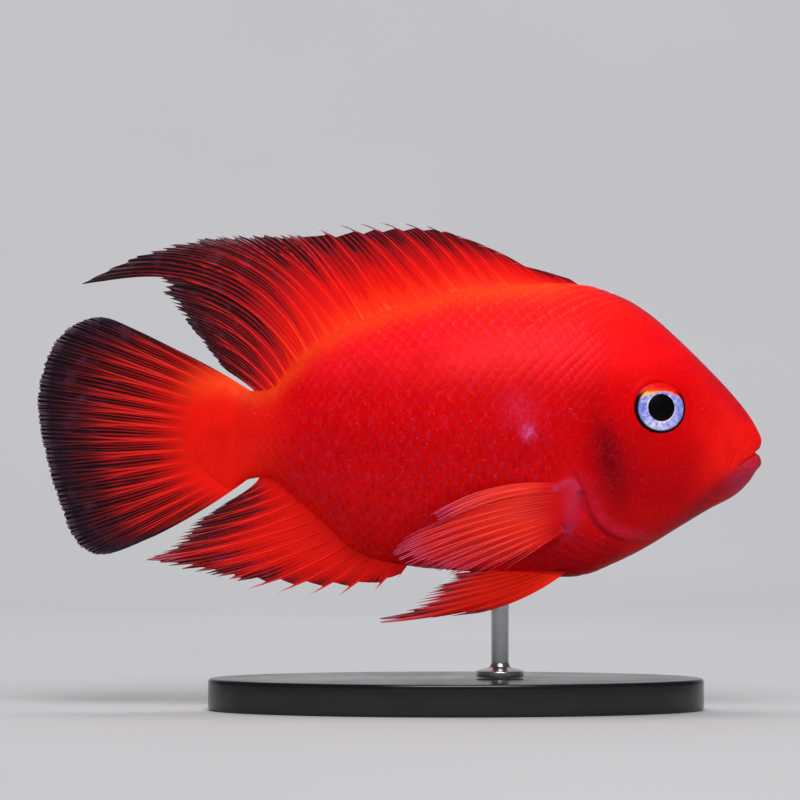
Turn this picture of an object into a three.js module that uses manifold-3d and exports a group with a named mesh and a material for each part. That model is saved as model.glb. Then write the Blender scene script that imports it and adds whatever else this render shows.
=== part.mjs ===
// Blood parrot cichlid, a life-size still model held over a display base by one short rod.
// Millimetres. The snout points to +X, the fish's right side faces -Y, and the back is up.
// The fish is drawn in its own side view, x along the body and z up, with z = 0 near the body's axis,
// and the whole fish is then lifted so that the base stands on z = 0.
import * as THREE from "three";
import Module from "manifold-3d";
import { mergeVertices } from "three/addons/utils/BufferGeometryUtils.js";

const wasm = await Module();
wasm.setup();

// Driving sizes
const AXIS_HEIGHT = 70; // body axis above the floor
const SHIFT_X = 0.2; // centres the overall length on the origin
const GAP = 0.3; // between neighbouring pieces

const BODY_ANGLES = 32; // facets round the body
const STEPS_PER_STATION = [3, 3, 2, 2, 2, 2, 1, 2, 1, 2, 2, 2, 2, 1, 1, 2, 2, 1, 1];

// Stations along the body, from the mouth line to the tail-fin root. top and bottom are points of the
// outline in the side view, half is the half-width, and swept is how far the sides lie behind the middle.
// keel sets how sharp the back and the belly are: 1 is an ellipse, and more is a sharper ridge.
const STATIONS = [
  { top: [88.7, -5.5], bottom: [88.7, -5.5], half: 5.2, swept: [-6.2, -4.4], keel: [1, 1] },
  { top: [90.4, -2.9], bottom: [90.3, -8.2], half: 5.8, swept: [-6.0, -3.4], keel: [1, 1] },
  { top: [89.3, 0.2], bottom: [88.9, -10.4], half: 6.8, swept: [-5.4, -2.6], keel: [1, 1] },
  { top: [86.8, 4.3], bottom: [87.0, -13.2], half: 7.8, swept: [-4.6, -1.6], keel: [1, 1] },
  { top: [82.4, 9.7], bottom: [83.4, -16.5], half: 9.6, swept: [-3.0, -0.8], keel: [1, 1] },
  { top: [76.5, 15.9], bottom: [77.0, -19.9], half: 11.9, swept: [-1.5, 0], keel: [1, 1] },
  { top: [70.0, 22.3], bottom: [70.0, -24.1], half: 14.0, swept: [-0.6, 0], keel: [1.02, 1] },
  { top: [62.0, 29.3], bottom: [61.5, -29.3], half: 16.2, swept: [0, 0], keel: [1.04, 0.98] },
  { top: [54.0, 33.9], bottom: [53.5, -33.4], half: 18.1, swept: [0, 0], keel: [1.08, 0.96] },
  { top: [44.5, 36.6], bottom: [44.5, -36.6], half: 19.5, swept: [0, 0], keel: [1.14, 0.94] },
  { top: [31.0, 36.6], bottom: [31.0, -36.6], half: 20.2, swept: [0, 0], keel: [1.2, 0.94] },
  { top: [12.5, 34.4], bottom: [14.0, -35.2], half: 19.4, swept: [0, 0], keel: [1.24, 0.98] },
  { top: [0.0, 31.0], bottom: [0.5, -33.8], half: 17.2, swept: [0, 0], keel: [1.26, 1.06] },
  { top: [-12.0, 26.9], bottom: [-11.0, -30.6], half: 13.9, swept: [0, 0], keel: [1.28, 1.16] },
  { top: [-20.0, 22.6], bottom: [-19.0, -23.6], half: 11.2, swept: [0, 0], keel: [1.26, 1.2] },
  { top: [-27.0, 16.0], bottom: [-26.0, -17.4], half: 8.6, swept: [0, 0], keel: [1.2, 1.18] },
  { top: [-31.5, 10.9], bottom: [-32.0, -12.6], half: 6.9, swept: [0, 0], keel: [1.1, 1.1] },
  { top: [-37.0, 10.0], bottom: [-37.5, -12.4], half: 5.0, swept: [0, 0], keel: [1, 1] },
  { top: [-41.5, 11.8], bottom: [-41.5, -14.8], half: 3.3, swept: [-2.6, 0], keel: [1, 1] },
  { top: [-43.2, 12.6], bottom: [-43.2, -15.6], half: 1.7, swept: [-3.6, 0], keel: [1, 1] },
];

// Uniform Catmull-Rom through a list of numbers or of equal lists of numbers, t from 0 to 1.
function along(list, t) {
  const last = list.length - 1;
  const at = Math.min(Math.max(t, 0), 1) * last;
  const i = Math.min(Math.floor(at), last - 1);
  const f = at - i;
  const near = [Math.max(i - 1, 0), i, i + 1, Math.min(i + 2, last)].map((k) => list[k]);
  const blend = (a, b, c, d) =>
    b + 0.5 * f * (c - a + f * (2 * a - 5 * b + 4 * c - d + f * (3 * (b - c) + d - a)));
  if (!Array.isArray(list[0])) return blend(...near);
  return list[0].map((_, k) => blend(...near.map((p) => p[k])));
}

function smooth(t) {
  const c = Math.min(Math.max(t, 0), 1);
  return c * c * (3 - 2 * c);
}

// A point of the skin. station runs from 0 to the last station, and angle goes round from the left side
// (0) over the back (90 degrees) to the right side (180) and the belly (270).
function skinPoint(station, angle) {
  const t = station / (STATIONS.length - 1);
  const pick = (key) => along(STATIONS.map((s) => s[key]), t);
  const [top, bottom, half, swept, keel] = ["top", "bottom", "half", "swept", "keel"].map(pick);
  const side = Math.cos(angle);
  const up = Math.sin(angle);
  const sharp = up > 0 ? keel[0] : keel[1];
  const place = (k) => (top[k] + bottom[k]) / 2 + ((top[k] - bottom[k]) / 2) * up + swept[k] * side * side;
  return new THREE.Vector3(place(0), half * Math.sign(side) * Math.abs(side) ** sharp, place(1));
}

function geometryOf(points, faces) {
  const geometry = new THREE.BufferGeometry().setFromPoints(points);
  geometry.setIndex(faces.flat());
  return geometry;
}

// The whole body as one closed surface, moved outwards along its normals by grow(point).
function bodyGeometry(grow) {
  const rings = [];
  STEPS_PER_STATION.forEach((steps, i) => {
    for (let k = 0; k < steps; k++) rings.push(i + k / steps);
  });
  rings.push(STATIONS.length - 1);
  const points = rings.flatMap((station) =>
    Array.from({ length: BODY_ANGLES }, (_, j) => skinPoint(station, (2 * Math.PI * j) / BODY_ANGLES)),
  );
  const faces = [];
  for (let i = 0; i < rings.length - 1; i++) {
    for (let j = 0; j < BODY_ANGLES; j++) {
      const [a, b] = [i * BODY_ANGLES + j, i * BODY_ANGLES + ((j + 1) % BODY_ANGLES)];
      faces.push([a, b, b + BODY_ANGLES], [a, b + BODY_ANGLES, a + BODY_ANGLES]);
    }
  }
  const rim = (rings.length - 1) * BODY_ANGLES;
  const middle = new THREE.Vector3();
  for (let j = 0; j < BODY_ANGLES; j++) middle.addScaledVector(points[rim + j], 1 / BODY_ANGLES);
  points.push(middle);
  for (let j = 0; j < BODY_ANGLES; j++) {
    faces.push([rim + j, rim + ((j + 1) % BODY_ANGLES), points.length - 1]);
  }
  const merged = mergeVertices(geometryOf(points, faces), 1e-3);
  merged.computeVertexNormals();
  const { position, normal } = merged.attributes;
  const outwards = signedVolume(merged) > 0 ? 1 : -1;
  for (let i = 0; i < position.count; i++) {
    const p = new THREE.Vector3().fromBufferAttribute(position, i);
    const n = new THREE.Vector3().fromBufferAttribute(normal, i);
    p.addScaledVector(n, outwards * grow(p));
    position.setXYZ(i, p.x, p.y, p.z);
  }
  merged.deleteAttribute("normal");
  return merged;
}

function signedVolume(geometry) {
  const { index, attributes } = geometry;
  const corner = (i) => new THREE.Vector3().fromBufferAttribute(attributes.position, index.getX(i));
  let sum = 0;
  for (let i = 0; i < index.count; i += 3) sum += corner(i).dot(corner(i + 1).cross(corner(i + 2))) / 6;
  return sum;
}

// A closed geometry as a solid, whichever way round its faces were listed.
function solid(geometry) {
  const bare = new THREE.BufferGeometry().setAttribute("position", geometry.getAttribute("position"));
  if (geometry.index) bare.setIndex(geometry.index);
  const merged = mergeVertices(bare, 1e-3);
  const corners = Array.from(merged.index.array);
  if (signedVolume(merged) < 0) {
    for (let i = 0; i < corners.length; i += 3) {
      [corners[i + 1], corners[i + 2]] = [corners[i + 2], corners[i + 1]];
    }
  }
  return new wasm.Manifold(
    new wasm.Mesh({
      numProp: 3,
      vertProperties: merged.attributes.position.array,
      triVerts: new Uint32Array(corners),
    }),
  );
}

// The largest closed piece of a solid, which drops any scrap that a cut leaves.
function largest(made) {
  return made.decompose().reduce((a, b) => (Math.abs(b.volume()) > Math.abs(a.volume()) ? b : a));
}

function geometryFrom(made) {
  const { vertProperties, triVerts } = made.getMesh();
  const geometry = new THREE.BufferGeometry();
  geometry.setAttribute("position", new THREE.BufferAttribute(vertProperties, 3));
  geometry.setIndex(new THREE.BufferAttribute(triVerts, 1));
  return geometry;
}

// A side-view outline, [x, z] points, as a slab between two values of y.
function prism(outline, yLow, yHigh) {
  const shape = new THREE.Shape(outline.map(([x, z]) => new THREE.Vector2(x, z)));
  const geometry = new THREE.ExtrudeGeometry(shape, { depth: yHigh - yLow, bevelEnabled: false });
  geometry.rotateX(Math.PI / 2); // the outline's second axis becomes z, and its depth runs to -y
  geometry.translate(0, yHigh, 0);
  return solid(geometry);
}

function curve(points, steps) {
  return Array.from({ length: steps + 1 }, (_, i) => along(points, i / steps));
}

// Body: head, gill covers, trunk and tail stalk

const FAR = 200; // past the fish in every direction
const GILL_REAR = [
  [50.5, 9.0], [46.2, 5.8], [43.2, 1.2], [41.7, -4.0], [42.0, -8.2], [43.9, -11.8],
  [45.2, -15.4], [46.0, -19.0], [48.4, -24.0], [51.8, -26.7], [56.0, -27.6], [60.0, -27.4], [63.6, -25.8],
];
const GILL_FRONT = [[63.6, -25.8], [61.0, -20.8], [58.2, -14.2], [56.7, -6.5], [56.5, 1.5], [54.8, 7.2], [50.5, 9.0]];
const HEAD_CUT = [
  [51.5, 45], [51.5, 24], [50.4, 12], [47.6, 5], [46.2, -2], [46.4, -8], [48.2, -13],
  [50.4, -18], [53.2, -23], [57.2, -26], [60.4, -32], [61.6, -45],
];
const STALK_CUT = [[-31.8, 45], [-32.6, 8], [-33.6, 0], [-33.4, -8], [-32.6, -45]];
const GILL_THICKNESS = 1.3; // under the skin line
const GILL_RAISED = [0.3, 1.1]; // above the skin line, at the front and at the rear edge
const RAISE_FROM = 60; // x where the gill cover starts to stand out
const RAISE_LENGTH = 16;

function gillRaise(p) {
  return GILL_RAISED[0] + (GILL_RAISED[1] - GILL_RAISED[0]) * smooth((RAISE_FROM - p.x) / RAISE_LENGTH);
}

// The outline grown outwards from its own centre, for the recess round a plate.
function grown(outline, by) {
  const centre = outline.reduce(([x, z], p) => [x + p[0] / outline.length, z + p[1] / outline.length], [0, 0]);
  return outline.map(([x, z]) => {
    const reach = Math.hypot(x - centre[0], z - centre[1]);
    const scale = (reach + by) / reach;
    return [centre[0] + (x - centre[0]) * scale, centre[1] + (z - centre[1]) * scale];
  });
}

// The slab between two cut lines, each given from top to bottom.
function between(front, rear, inset) {
  const ahead = curve(front, 24).map(([x, z]) => [x - inset, z]);
  const behind = curve(rear, 24).map(([x, z]) => [x + inset, z]);
  return prism([...ahead, ...behind.reverse()], -FAR, FAR);
}

const body = solid(bodyGeometry(() => 0));
const bodyWithGap = solid(bodyGeometry((p) => GAP * smooth((80 - p.x) / 8)));
const gillLine = [...curve(GILL_REAR, 22), ...curve(GILL_FRONT, 12).slice(1, -1)];
const gillOuter = solid(bodyGeometry(gillRaise));
const gillInner = solid(bodyGeometry(() => -GILL_THICKNESS));
const recessFloor = solid(bodyGeometry(() => -GILL_THICKNESS - GAP));
const recess = prism(grown(gillLine, GAP * 1.3), -FAR, FAR).subtract(recessFloor);

function gillCover(yLow, yHigh) {
  return largest(prism(gillLine, yLow, yHigh).intersect(gillOuter).subtract(gillInner));
}

const frontEdge = [[FAR, 45], [FAR, -45]];
const rearEdge = [[-FAR, 45], [-FAR, -45]];
const gillCovers = { left: gillCover(0, FAR), right: gillCover(-FAR, 0) };
const headBlock = body.intersect(between(frontEdge, HEAD_CUT, GAP / 2)).subtract(recess);
const trunk = largest(body.intersect(between(HEAD_CUT, STALK_CUT, GAP / 2)).subtract(recess));
const stalk = largest(body.intersect(between(STALK_CUT, rearEdge, GAP / 2)));

// Eyes, their rims and the nostrils

const EYE_AT = [64.7, 5.6]; // side view
const EYE_RADIUS = 6.4;
const EYE_BULGE = 1.5; // the cornea in front of the rim
const EYE_DEPTH = 7;
const PUPIL_RADIUS = 3.2;
const EYE_FACETS = 26;
const RIM_WIDTH = 1.7;
const RIM_HEIGHT = 0.75;
const NOSTRIL_AT = [74.4, 5.6];
const NOSTRIL_RADIUS = 0.75;

const bodyMesh = new THREE.Mesh(bodyGeometry(() => 0), new THREE.MeshBasicMaterial({ side: THREE.DoubleSide }));

// The skin's point and outward normal on one side (-1 right, 1 left) at a place in the side view.
function skinAt([x, z], side) {
  const ray = new THREE.Raycaster(new THREE.Vector3(x, side * FAR, z), new THREE.Vector3(0, -side, 0));
  const hit = ray.intersectObject(bodyMesh)[0];
  const normal = hit.face.normal.clone();
  if (normal.y * side < 0) normal.negate();
  return { point: hit.point, normal };
}

// A turned profile, [radius, height] points, standing on the skin with its axis along the skin's normal.
function turned(profile, facets, { point, normal }, tilt = 1) {
  const geometry = new THREE.LatheGeometry(profile.map(([r, h]) => new THREE.Vector2(r, h)), facets);
  const axis = new THREE.Vector3(0, Math.sign(normal.y), 0).lerp(normal, tilt).normalize();
  geometry.applyQuaternion(new THREE.Quaternion().setFromUnitVectors(new THREE.Vector3(0, 1, 0), axis));
  geometry.translate(point.x, point.y, point.z);
  return solid(geometry);
}

// The eyeball: a shallow cornea over a deeper ball, with a step round the pupil.
function eyeProfile(grow) {
  const r = EYE_RADIUS + grow;
  const dome = (radius) => EYE_BULGE * (1 - (radius / EYE_RADIUS) ** 2);
  const step = grow ? 0 : 0.2;
  return [
    [0, -EYE_DEPTH - grow],
    [r * 0.62, -EYE_DEPTH * 0.82 - grow],
    [r * 0.95, -EYE_DEPTH * 0.42],
    [r, -0.8],
    [r, 0.1 + grow * 4],
    ...(grow ? [[0, 4 + grow]] : [
      [EYE_RADIUS * 0.78, dome(EYE_RADIUS * 0.78)],
      [PUPIL_RADIUS + 0.3, dome(PUPIL_RADIUS)],
      [PUPIL_RADIUS, dome(PUPIL_RADIUS) + step],
      [PUPIL_RADIUS * 0.5, dome(PUPIL_RADIUS * 0.5) + step],
      [0, dome(0) + step],
    ]),
  ];
}

const RIM_PROFILE = [
  [EYE_RADIUS - 0.6, -3], [EYE_RADIUS - 0.6, 0.2], [EYE_RADIUS + RIM_WIDTH * 0.35, RIM_HEIGHT],
  [EYE_RADIUS + RIM_WIDTH * 0.7, RIM_HEIGHT * 0.6], [EYE_RADIUS + RIM_WIDTH, -0.5], [EYE_RADIUS + RIM_WIDTH, -3],
  [EYE_RADIUS - 0.6, -3],
];
const NOSTRIL_RIM = [[0, -1.5], [0, 0.35], [NOSTRIL_RADIUS * 1.3, 0.35], [NOSTRIL_RADIUS * 2.1, -0.3], [NOSTRIL_RADIUS * 2.1, -1.5], [0, -1.5]];
const NOSTRIL_PIT = [[0, -1.1], [NOSTRIL_RADIUS * 0.7, -1], [NOSTRIL_RADIUS, 1], [0, 1]];
const EYE_TILT = 0.75; // how far the eye's axis follows the skin's normal

const eyes = {};
let head = headBlock;
for (const [name, side] of [["left", 1], ["right", -1]]) {
  const eyePlace = skinAt(EYE_AT, side);
  const nostrilPlace = skinAt(NOSTRIL_AT, side);
  eyes[name] = turned(eyeProfile(0), EYE_FACETS, eyePlace, EYE_TILT);
  head = head
    .add(turned(RIM_PROFILE, EYE_FACETS, eyePlace, EYE_TILT))
    .add(turned(NOSTRIL_RIM, 10, nostrilPlace))
    .subtract(turned(eyeProfile(GAP), EYE_FACETS, eyePlace, EYE_TILT))
    .subtract(turned(NOSTRIL_PIT, 10, nostrilPlace));
}
head = largest(head);

// Fins

const FLANK = 0.22; // half-width of a ray's ridge, as a share of the space between rays
const RIDGE_TAPER = 0.75; // how much lower a ray's ridge is at its tip
const TIP_TAPER = 0.35; // how much thinner the web is at its margin

// A fin is one closed sheet. Its columns run from root to tip, and each ray is a crest between two flanks,
// raised in the sheet's own surface. path(t, v) is its middle surface: t runs from the first ray to the
// last, and v from root to tip. notch(t) is how far the web stops short of the ray's tip. root, ray and web
// are full thicknesses, measured along facing, and rootFall is how soon the fleshy root thins to the web.
function finGeometry({ rays, rows, path, notch, root, ray, web, rootFall, facing }) {
  const columns = [];
  for (let k = 0; k < rays; k++) {
    const t = k / (rays - 1);
    const step = FLANK / (rays - 1);
    if (k > 0) columns.push({ t: t - step, crest: false });
    columns.push({ t, crest: true });
    if (k < rays - 1) columns.push({ t: t + step, crest: false });
  }
  const heights = Array.from({ length: rows + 1 }, (_, i) => i / rows);
  const faces = { front: [], back: [] };
  for (const { t, crest } of columns) {
    for (const height of heights) {
      const v = crest ? height : height * (1 - notch(t));
      const flat = (web + (root - web) * (1 - v) ** rootFall) / 2;
      const ridge = crest ? ((ray - web) / 2) * (1 - RIDGE_TAPER * v) : 0;
      const thick = flat * (1 - TIP_TAPER * v ** 4) + ridge;
      const point = path(t, v);
      faces.front.push(point.clone().addScaledVector(facing, thick));
      faces.back.push(point.clone().addScaledVector(facing, -thick));
    }
  }
  const across = columns.length;
  const up = heights.length;
  const points = [...faces.front, ...faces.back];
  const back = faces.front.length;
  const corners = [];
  for (let i = 0; i < across - 1; i++) {
    for (let j = 0; j < up - 1; j++) {
      const [a, b, c, d] = [i * up + j, (i + 1) * up + j, (i + 1) * up + j + 1, i * up + j + 1];
      corners.push([a, b, c], [a, c, d], [back + a, back + c, back + b], [back + a, back + d, back + c]);
    }
  }
  const border = [];
  for (let j = 0; j < up - 1; j++) border.push(j);
  for (let i = 0; i < across - 1; i++) border.push(i * up + up - 1);
  for (let j = up - 1; j > 0; j--) border.push((across - 1) * up + j);
  for (let i = across - 1; i > 0; i--) border.push(i * up);
  border.forEach((a, i) => {
    const b = border[(i + 1) % border.length];
    corners.push([a, b, back + b], [a, back + b, back + a]);
  });
  return geometryOf(points, corners);
}

const SIDEWAYS = new THREE.Vector3(0, 1, 0);

// A ray of a fin in the middle plane, from root to tip in the side view. bow lifts it off the straight
// line, to the side of the front for a negative value, and hook bends its last part back.
function flatRay({ root, tip, bow, hook, wave }) {
  return (t, v) => {
    const [from, to, bend] = [root(t), tip(t), hook(t)];
    const [dx, dz] = [to[0] - bend[0] - from[0], to[1] - bend[1] - from[1]];
    const lift = bow(t) * 4 * v * (1 - v);
    const late = v ** 5;
    return new THREE.Vector3(
      from[0] + dx * v + dz * lift + bend[0] * late,
      wave(t, v),
      from[1] + dz * v - dx * lift + bend[1] * late,
    );
  };
}

function fin(shape) {
  return largest(solid(finGeometry(shape)).subtract(bodyWithGap));
}

const none = () => [0, 0];

// Dorsal fin, spiny part: a low fold of skin, then thirteen spines whose tips stand free and hook back.
const SPINE_ROOTS = [[47.5, 34.2], [42, 33.6], [34.5, 33.6], [26, 33.4], [17, 32.2], [7.5, 29.8], [-8, 24.6]];
const SPINE_TIPS = [
  [42.2, 37.9], [36.2, 39.7], [28, 41.8], [23.2, 44.3], [19, 46.1], [14, 48.2], [8.8, 50.2],
  [5.2, 51.2], [0.5, 51.7], [-4.6, 51.7], [-10, 51.5], [-15.2, 51.2], [-21.6, 50.8], [-28.2, 49.8],
];
const spiny = {
  rays: 14, rows: 6, root: 3.0, ray: 1.5, web: 0.65, rootFall: 3, facing: SIDEWAYS,
  notch: (t) => 0.05 + 0.1 * smooth((t - 0.15) / 0.4),
  path: flatRay({
    root: (t) => along(SPINE_ROOTS, t),
    tip: (t) => along(SPINE_TIPS, t),
    bow: () => 0.03,
    hook: (t) => [-2.2 * smooth(t / 0.4), -1.1 * smooth(t / 0.4)],
    wave: () => 0,
  }),
};

// Dorsal fin, soft part: the rays run out into one long trailing filament.
const SOFT_ROOTS = [[-8.9, 24.3], [-15.4, 21.2], [-22.4, 16.6], [-27, 11.4], [-30, 7.6], [-33.4, 6.4]];
const SOFT_UPPER = [[-29, 49.5], [-37, 49.3], [-44, 48.6], [-50.6, 48.1], [-58, 46.4], [-67.6, 43], [-80, 36.4]];
const SOFT_REAR = [
  [-80, 36.4], [-62.2, 38.4], [-60, 34.4], [-57, 30.8], [-53, 26.2], [-48.8, 20.8], [-44.4, 15.6], [-39.2, 12.4],
];
const FILAMENT_AT = 6 / 13; // the ray, as a share of the fin, that carries the filament
const soft = {
  rays: 14, rows: 7, root: 2.6, ray: 1.3, web: 0.6, rootFall: 3, facing: SIDEWAYS,
  notch: (t) => 0.03 + 0.05 * smooth((t - FILAMENT_AT) / 0.2),
  path: flatRay({
    root: (t) => along(SOFT_ROOTS, t),
    tip: (t) => (t < FILAMENT_AT
      ? along(SOFT_UPPER, t / FILAMENT_AT)
      : along(SOFT_REAR, (t - FILAMENT_AT) / (1 - FILAMENT_AT))),
    bow: (t) => 0.03 + 0.15 * smooth(t / 0.4) - 0.15 * smooth((t - 0.5) / 0.4),
    hook: (t) => [-2.2 * (1 - smooth(t / 0.15)), -1.1 * (1 - smooth(t / 0.15))],
    wave: (t, v) => 1.6 * v * v * Math.sin(2.6 * t + 0.4),
  }),
};

// Anal fin: seven spines, then nine soft rays.
const ANAL_ROOTS = [[3.5, -31.4], [-4, -30.4], [-11, -27.4], [-16.5, -22.4], [-22.5, -16.8], [-29, -12.2], [-33.6, -9.4]];
const ANAL_TIPS = [
  [-0.8, -37.4], [-6.5, -40.3], [-15.4, -41.5], [-23.2, -41.5], [-31.6, -41], [-39.5, -40.1], [-48, -38],
  [-56.4, -35.6], [-64.7, -32.6], [-59.8, -30], [-55.6, -26.3], [-52, -23], [-48, -20.6], [-44.2, -18.4],
  [-40.8, -16.6], [-37.4, -14.8],
];
const anal = {
  rays: 16, rows: 6, root: 2.4, ray: 1.4, web: 0.6, rootFall: 3, facing: SIDEWAYS,
  notch: (t) => 0.2 - 0.13 * smooth((t - 0.2) / 0.3),
  path: flatRay({
    root: (t) => along(ANAL_ROOTS, t),
    tip: (t) => along(ANAL_TIPS, t),
    bow: () => -0.03,
    hook: none,
    wave: (t, v) => -1.2 * v * v * Math.sin(3 * t),
  }),
};

// Tail fin: a fan of rays with rounded corners.
const TAIL_ROOTS = [[-36.4, 9.2], [-41, 8.2], [-44.4, 4], [-45.2, -1.4], [-44.4, -7], [-41, -10.4], [-36.8, -11.4]];
const TAIL_TIPS = [
  [-63, 23.2], [-74.2, 28.3], [-83, 25.8], [-88.4, 19.4], [-90.7, 11.2], [-90.9, 3.8], [-89.6, -3.4],
  [-87.6, -11.6], [-84.8, -20], [-80.8, -28.6], [-73.8, -31.2], [-61.5, -26.6],
];
const tail = {
  rays: 18, rows: 6, root: 2.6, ray: 1.3, web: 0.6, rootFall: 4, facing: SIDEWAYS,
  notch: () => 0.025,
  path: flatRay({
    root: (t) => along(TAIL_ROOTS, t),
    tip: (t) => along(TAIL_TIPS, t),
    bow: (t) => 0.05 * (0.5 - t),
    hook: none,
    wave: (t, v) => 2.2 * v * v * Math.sin(4.2 * t + 0.6),
  }),
};

// Pectoral fins: folded back along the flank and standing off it.
const PECTORAL_ROOTS = [[43.4, -13.6], [43.6, -19], [42, -24.4]];
const PECTORAL_TIPS = [[8.4, -21.4], [3.4, -25], [-1.4, -29.4], [-1, -33.6], [3.4, -35.4], [10.4, -36.2], [16, -36.4]];
const PECTORAL_ROOT_OUT = [15.8, 14.4, 12.4];
const PECTORAL_TIP_OUT = [23.4, 24.6, 25.6, 25.2, 24, 22.4, 21];
function pectoralPath(side) {
  return (t, v) => {
    const from = along(PECTORAL_ROOTS, t);
    const to = along(PECTORAL_TIPS, t);
    const out = along(PECTORAL_ROOT_OUT, t);
    const outTip = along(PECTORAL_TIP_OUT, t);
    const bow = (0.09 - 0.16 * t) * 4 * v * (1 - v);
    const [dx, dz] = [to[0] - from[0], to[1] - from[1]];
    return new THREE.Vector3(
      from[0] + dx * v + dz * bow,
      side * (out + (outTip - out) * Math.sin((v * Math.PI) / 2) ** 0.8 + 0.7 * v * Math.sin(9 * t)),
      from[1] + dz * v - dx * bow,
    );
  };
}

// Pelvic fins: a spine in front, and five rays of which the second trails furthest and the last is forked.
const PELVIC_ROOTS = [[42, -35], [38, -34.8], [34, -34.6]];
const PELVIC_TIPS = [[20.2, -45.8], [10.2, -46.4], [-5.6, -47.9], [1.8, -45], [3.4, -42.8], [5.6, -40.6], [11, -38.4]];
const PELVIC_ROOT_OUT = [6.6, 5.4, 4.2];
const PELVIC_TIP_OUT = [11.5, 11.4, 11.2, 10.2, 9, 7.8, 6.6];
const PELVIC_LEAN = 0.4; // the web leans outwards at its lower edge
function pelvicPath(side) {
  return (t, v) => {
    const from = along(PELVIC_ROOTS, t);
    const to = along(PELVIC_TIPS, t);
    const bow = -0.05 * (1 - t) * 4 * v * (1 - v);
    const [dx, dz] = [to[0] - from[0], to[1] - from[1]];
    const out = along(PELVIC_ROOT_OUT, t);
    return new THREE.Vector3(
      from[0] + dx * v + dz * bow,
      side * (out + (along(PELVIC_TIP_OUT, t) - out) * v),
      from[1] + dz * v - dx * bow,
    );
  };
}

const pairedFins = {};
for (const [name, side] of [["left", 1], ["right", -1]]) {
  pairedFins["pectoral_fin_" + name] = largest(
    fin({
      rays: 12, rows: 6, root: 3.2, ray: 1.1, web: 0.55, rootFall: 5, facing: SIDEWAYS,
      notch: () => 0.05,
      path: pectoralPath(side),
    }).subtract(solid(bodyGeometry((p) => gillRaise(p) + GAP)).intersect(prism(grown(gillLine, GAP), -FAR, FAR))),
  );
  pairedFins["pelvic_fin_" + name] = fin({
    rays: 7, rows: 6, root: 2.4, ray: 1.3, web: 0.6, rootFall: 3,
    facing: new THREE.Vector3(0, 1, side * PELVIC_LEAN).normalize(),
    notch: (t) => 0.04 + 0.22 * smooth((t - 0.1) / 0.25) - 0.1 * t,
    path: pelvicPath(side),
  });
}

// The soft part of the dorsal fin starts a gap behind the last spine, and the tail fin a gap behind the stalk.
const dorsalSpiny = fin(spiny);
const dorsalSoft = fin(soft);
const tailFin = fin(tail);
const analFin = fin(anal);

// Display stand: a flat oval base and one short rod with a foot and a cup under the belly

const BASE_SIZE = [124, 68, 8]; // along x, along y, and high
const BASE_AT_X = 14;
const BASE_EDGE = 1.2; // chamfer
const BASE_FACETS = 56;
const ROD_AT_X = 25;
const ROD_RADIUS = 2.2;
const FOOT_RADIUS = 6;
const CUP_RADIUS = 3.4;
const CUP_TOP = -35; // inside the belly, where it is cut to the skin

const [baseLong, baseWide, baseHigh] = BASE_SIZE;
const floor = -AXIS_HEIGHT;
const baseTop = floor + baseHigh;

function standBase() {
  const r = baseLong / 2;
  const profile = [[0, 0], [r - BASE_EDGE, 0], [r, BASE_EDGE], [r, baseHigh - BASE_EDGE], [r - BASE_EDGE, baseHigh], [0, baseHigh]];
  const geometry = new THREE.LatheGeometry(profile.map(([x, y]) => new THREE.Vector2(x, y)), BASE_FACETS);
  geometry.rotateX(Math.PI / 2);
  geometry.scale(1, baseWide / baseLong, 1);
  geometry.translate(BASE_AT_X, 0, floor);
  return solid(geometry);
}

function standRod() {
  const foot = baseTop + GAP;
  const profile = [
    [0, foot], [FOOT_RADIUS, foot], [FOOT_RADIUS, foot + 1.4], [FOOT_RADIUS * 0.75, foot + 2], [ROD_RADIUS + 0.5, foot + 2.4],
    [ROD_RADIUS, foot + 3.2], [ROD_RADIUS, CUP_TOP - 6], [CUP_RADIUS, CUP_TOP - 2.6], [CUP_RADIUS, CUP_TOP], [0, CUP_TOP],
  ];
  const geometry = new THREE.LatheGeometry(profile.map(([x, y]) => new THREE.Vector2(x, y)), 24);
  geometry.rotateX(Math.PI / 2);
  geometry.translate(ROD_AT_X, 0, 0);
  return largest(solid(geometry).subtract(bodyWithGap));
}

// Materials

const finish = (color, roughness, metalness = 0) => new THREE.MeshStandardMaterial({ color, roughness, metalness });
const SKIN = finish("#e0140c", 0.38);
const CHEEK = finish("#c8121a", 0.4);
const FIN = finish("#c2160f", 0.45);
const FIN_DARK = finish("#5a1422", 0.45);
const EYE = finish("#a8b8e6", 0.15);
const BASE = finish("#2a2a2c", 0.4);
const ROD = finish("#c9ccd0", 0.25, 1);

const model = new THREE.Group();
model.name = "blood_parrot_cichlid";
const fish = new THREE.Group();
fish.position.set(SHIFT_X, 0, AXIS_HEIGHT);
model.add(fish);

function piece(name, made, material) {
  const mesh = new THREE.Mesh(geometryFrom(made), material);
  mesh.name = name;
  fish.add(mesh);
}

piece("head", head, SKIN);
piece("gill_cover_left", gillCovers.left, CHEEK);
piece("gill_cover_right", gillCovers.right, CHEEK);
piece("trunk", trunk, SKIN);
piece("tail_stalk", stalk, SKIN);
piece("eye_left", eyes.left, EYE);
piece("eye_right", eyes.right, EYE);
piece("dorsal_fin_spiny", dorsalSpiny, FIN);
piece("dorsal_fin_soft", dorsalSoft, FIN_DARK);
piece("anal_fin", analFin, FIN);
piece("tail_fin", tailFin, FIN_DARK);
for (const [name, made] of Object.entries(pairedFins)) piece(name, made, FIN);
piece("stand_base", standBase(), BASE);
piece("stand_rod", standRod(), ROD);

export default model;
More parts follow.
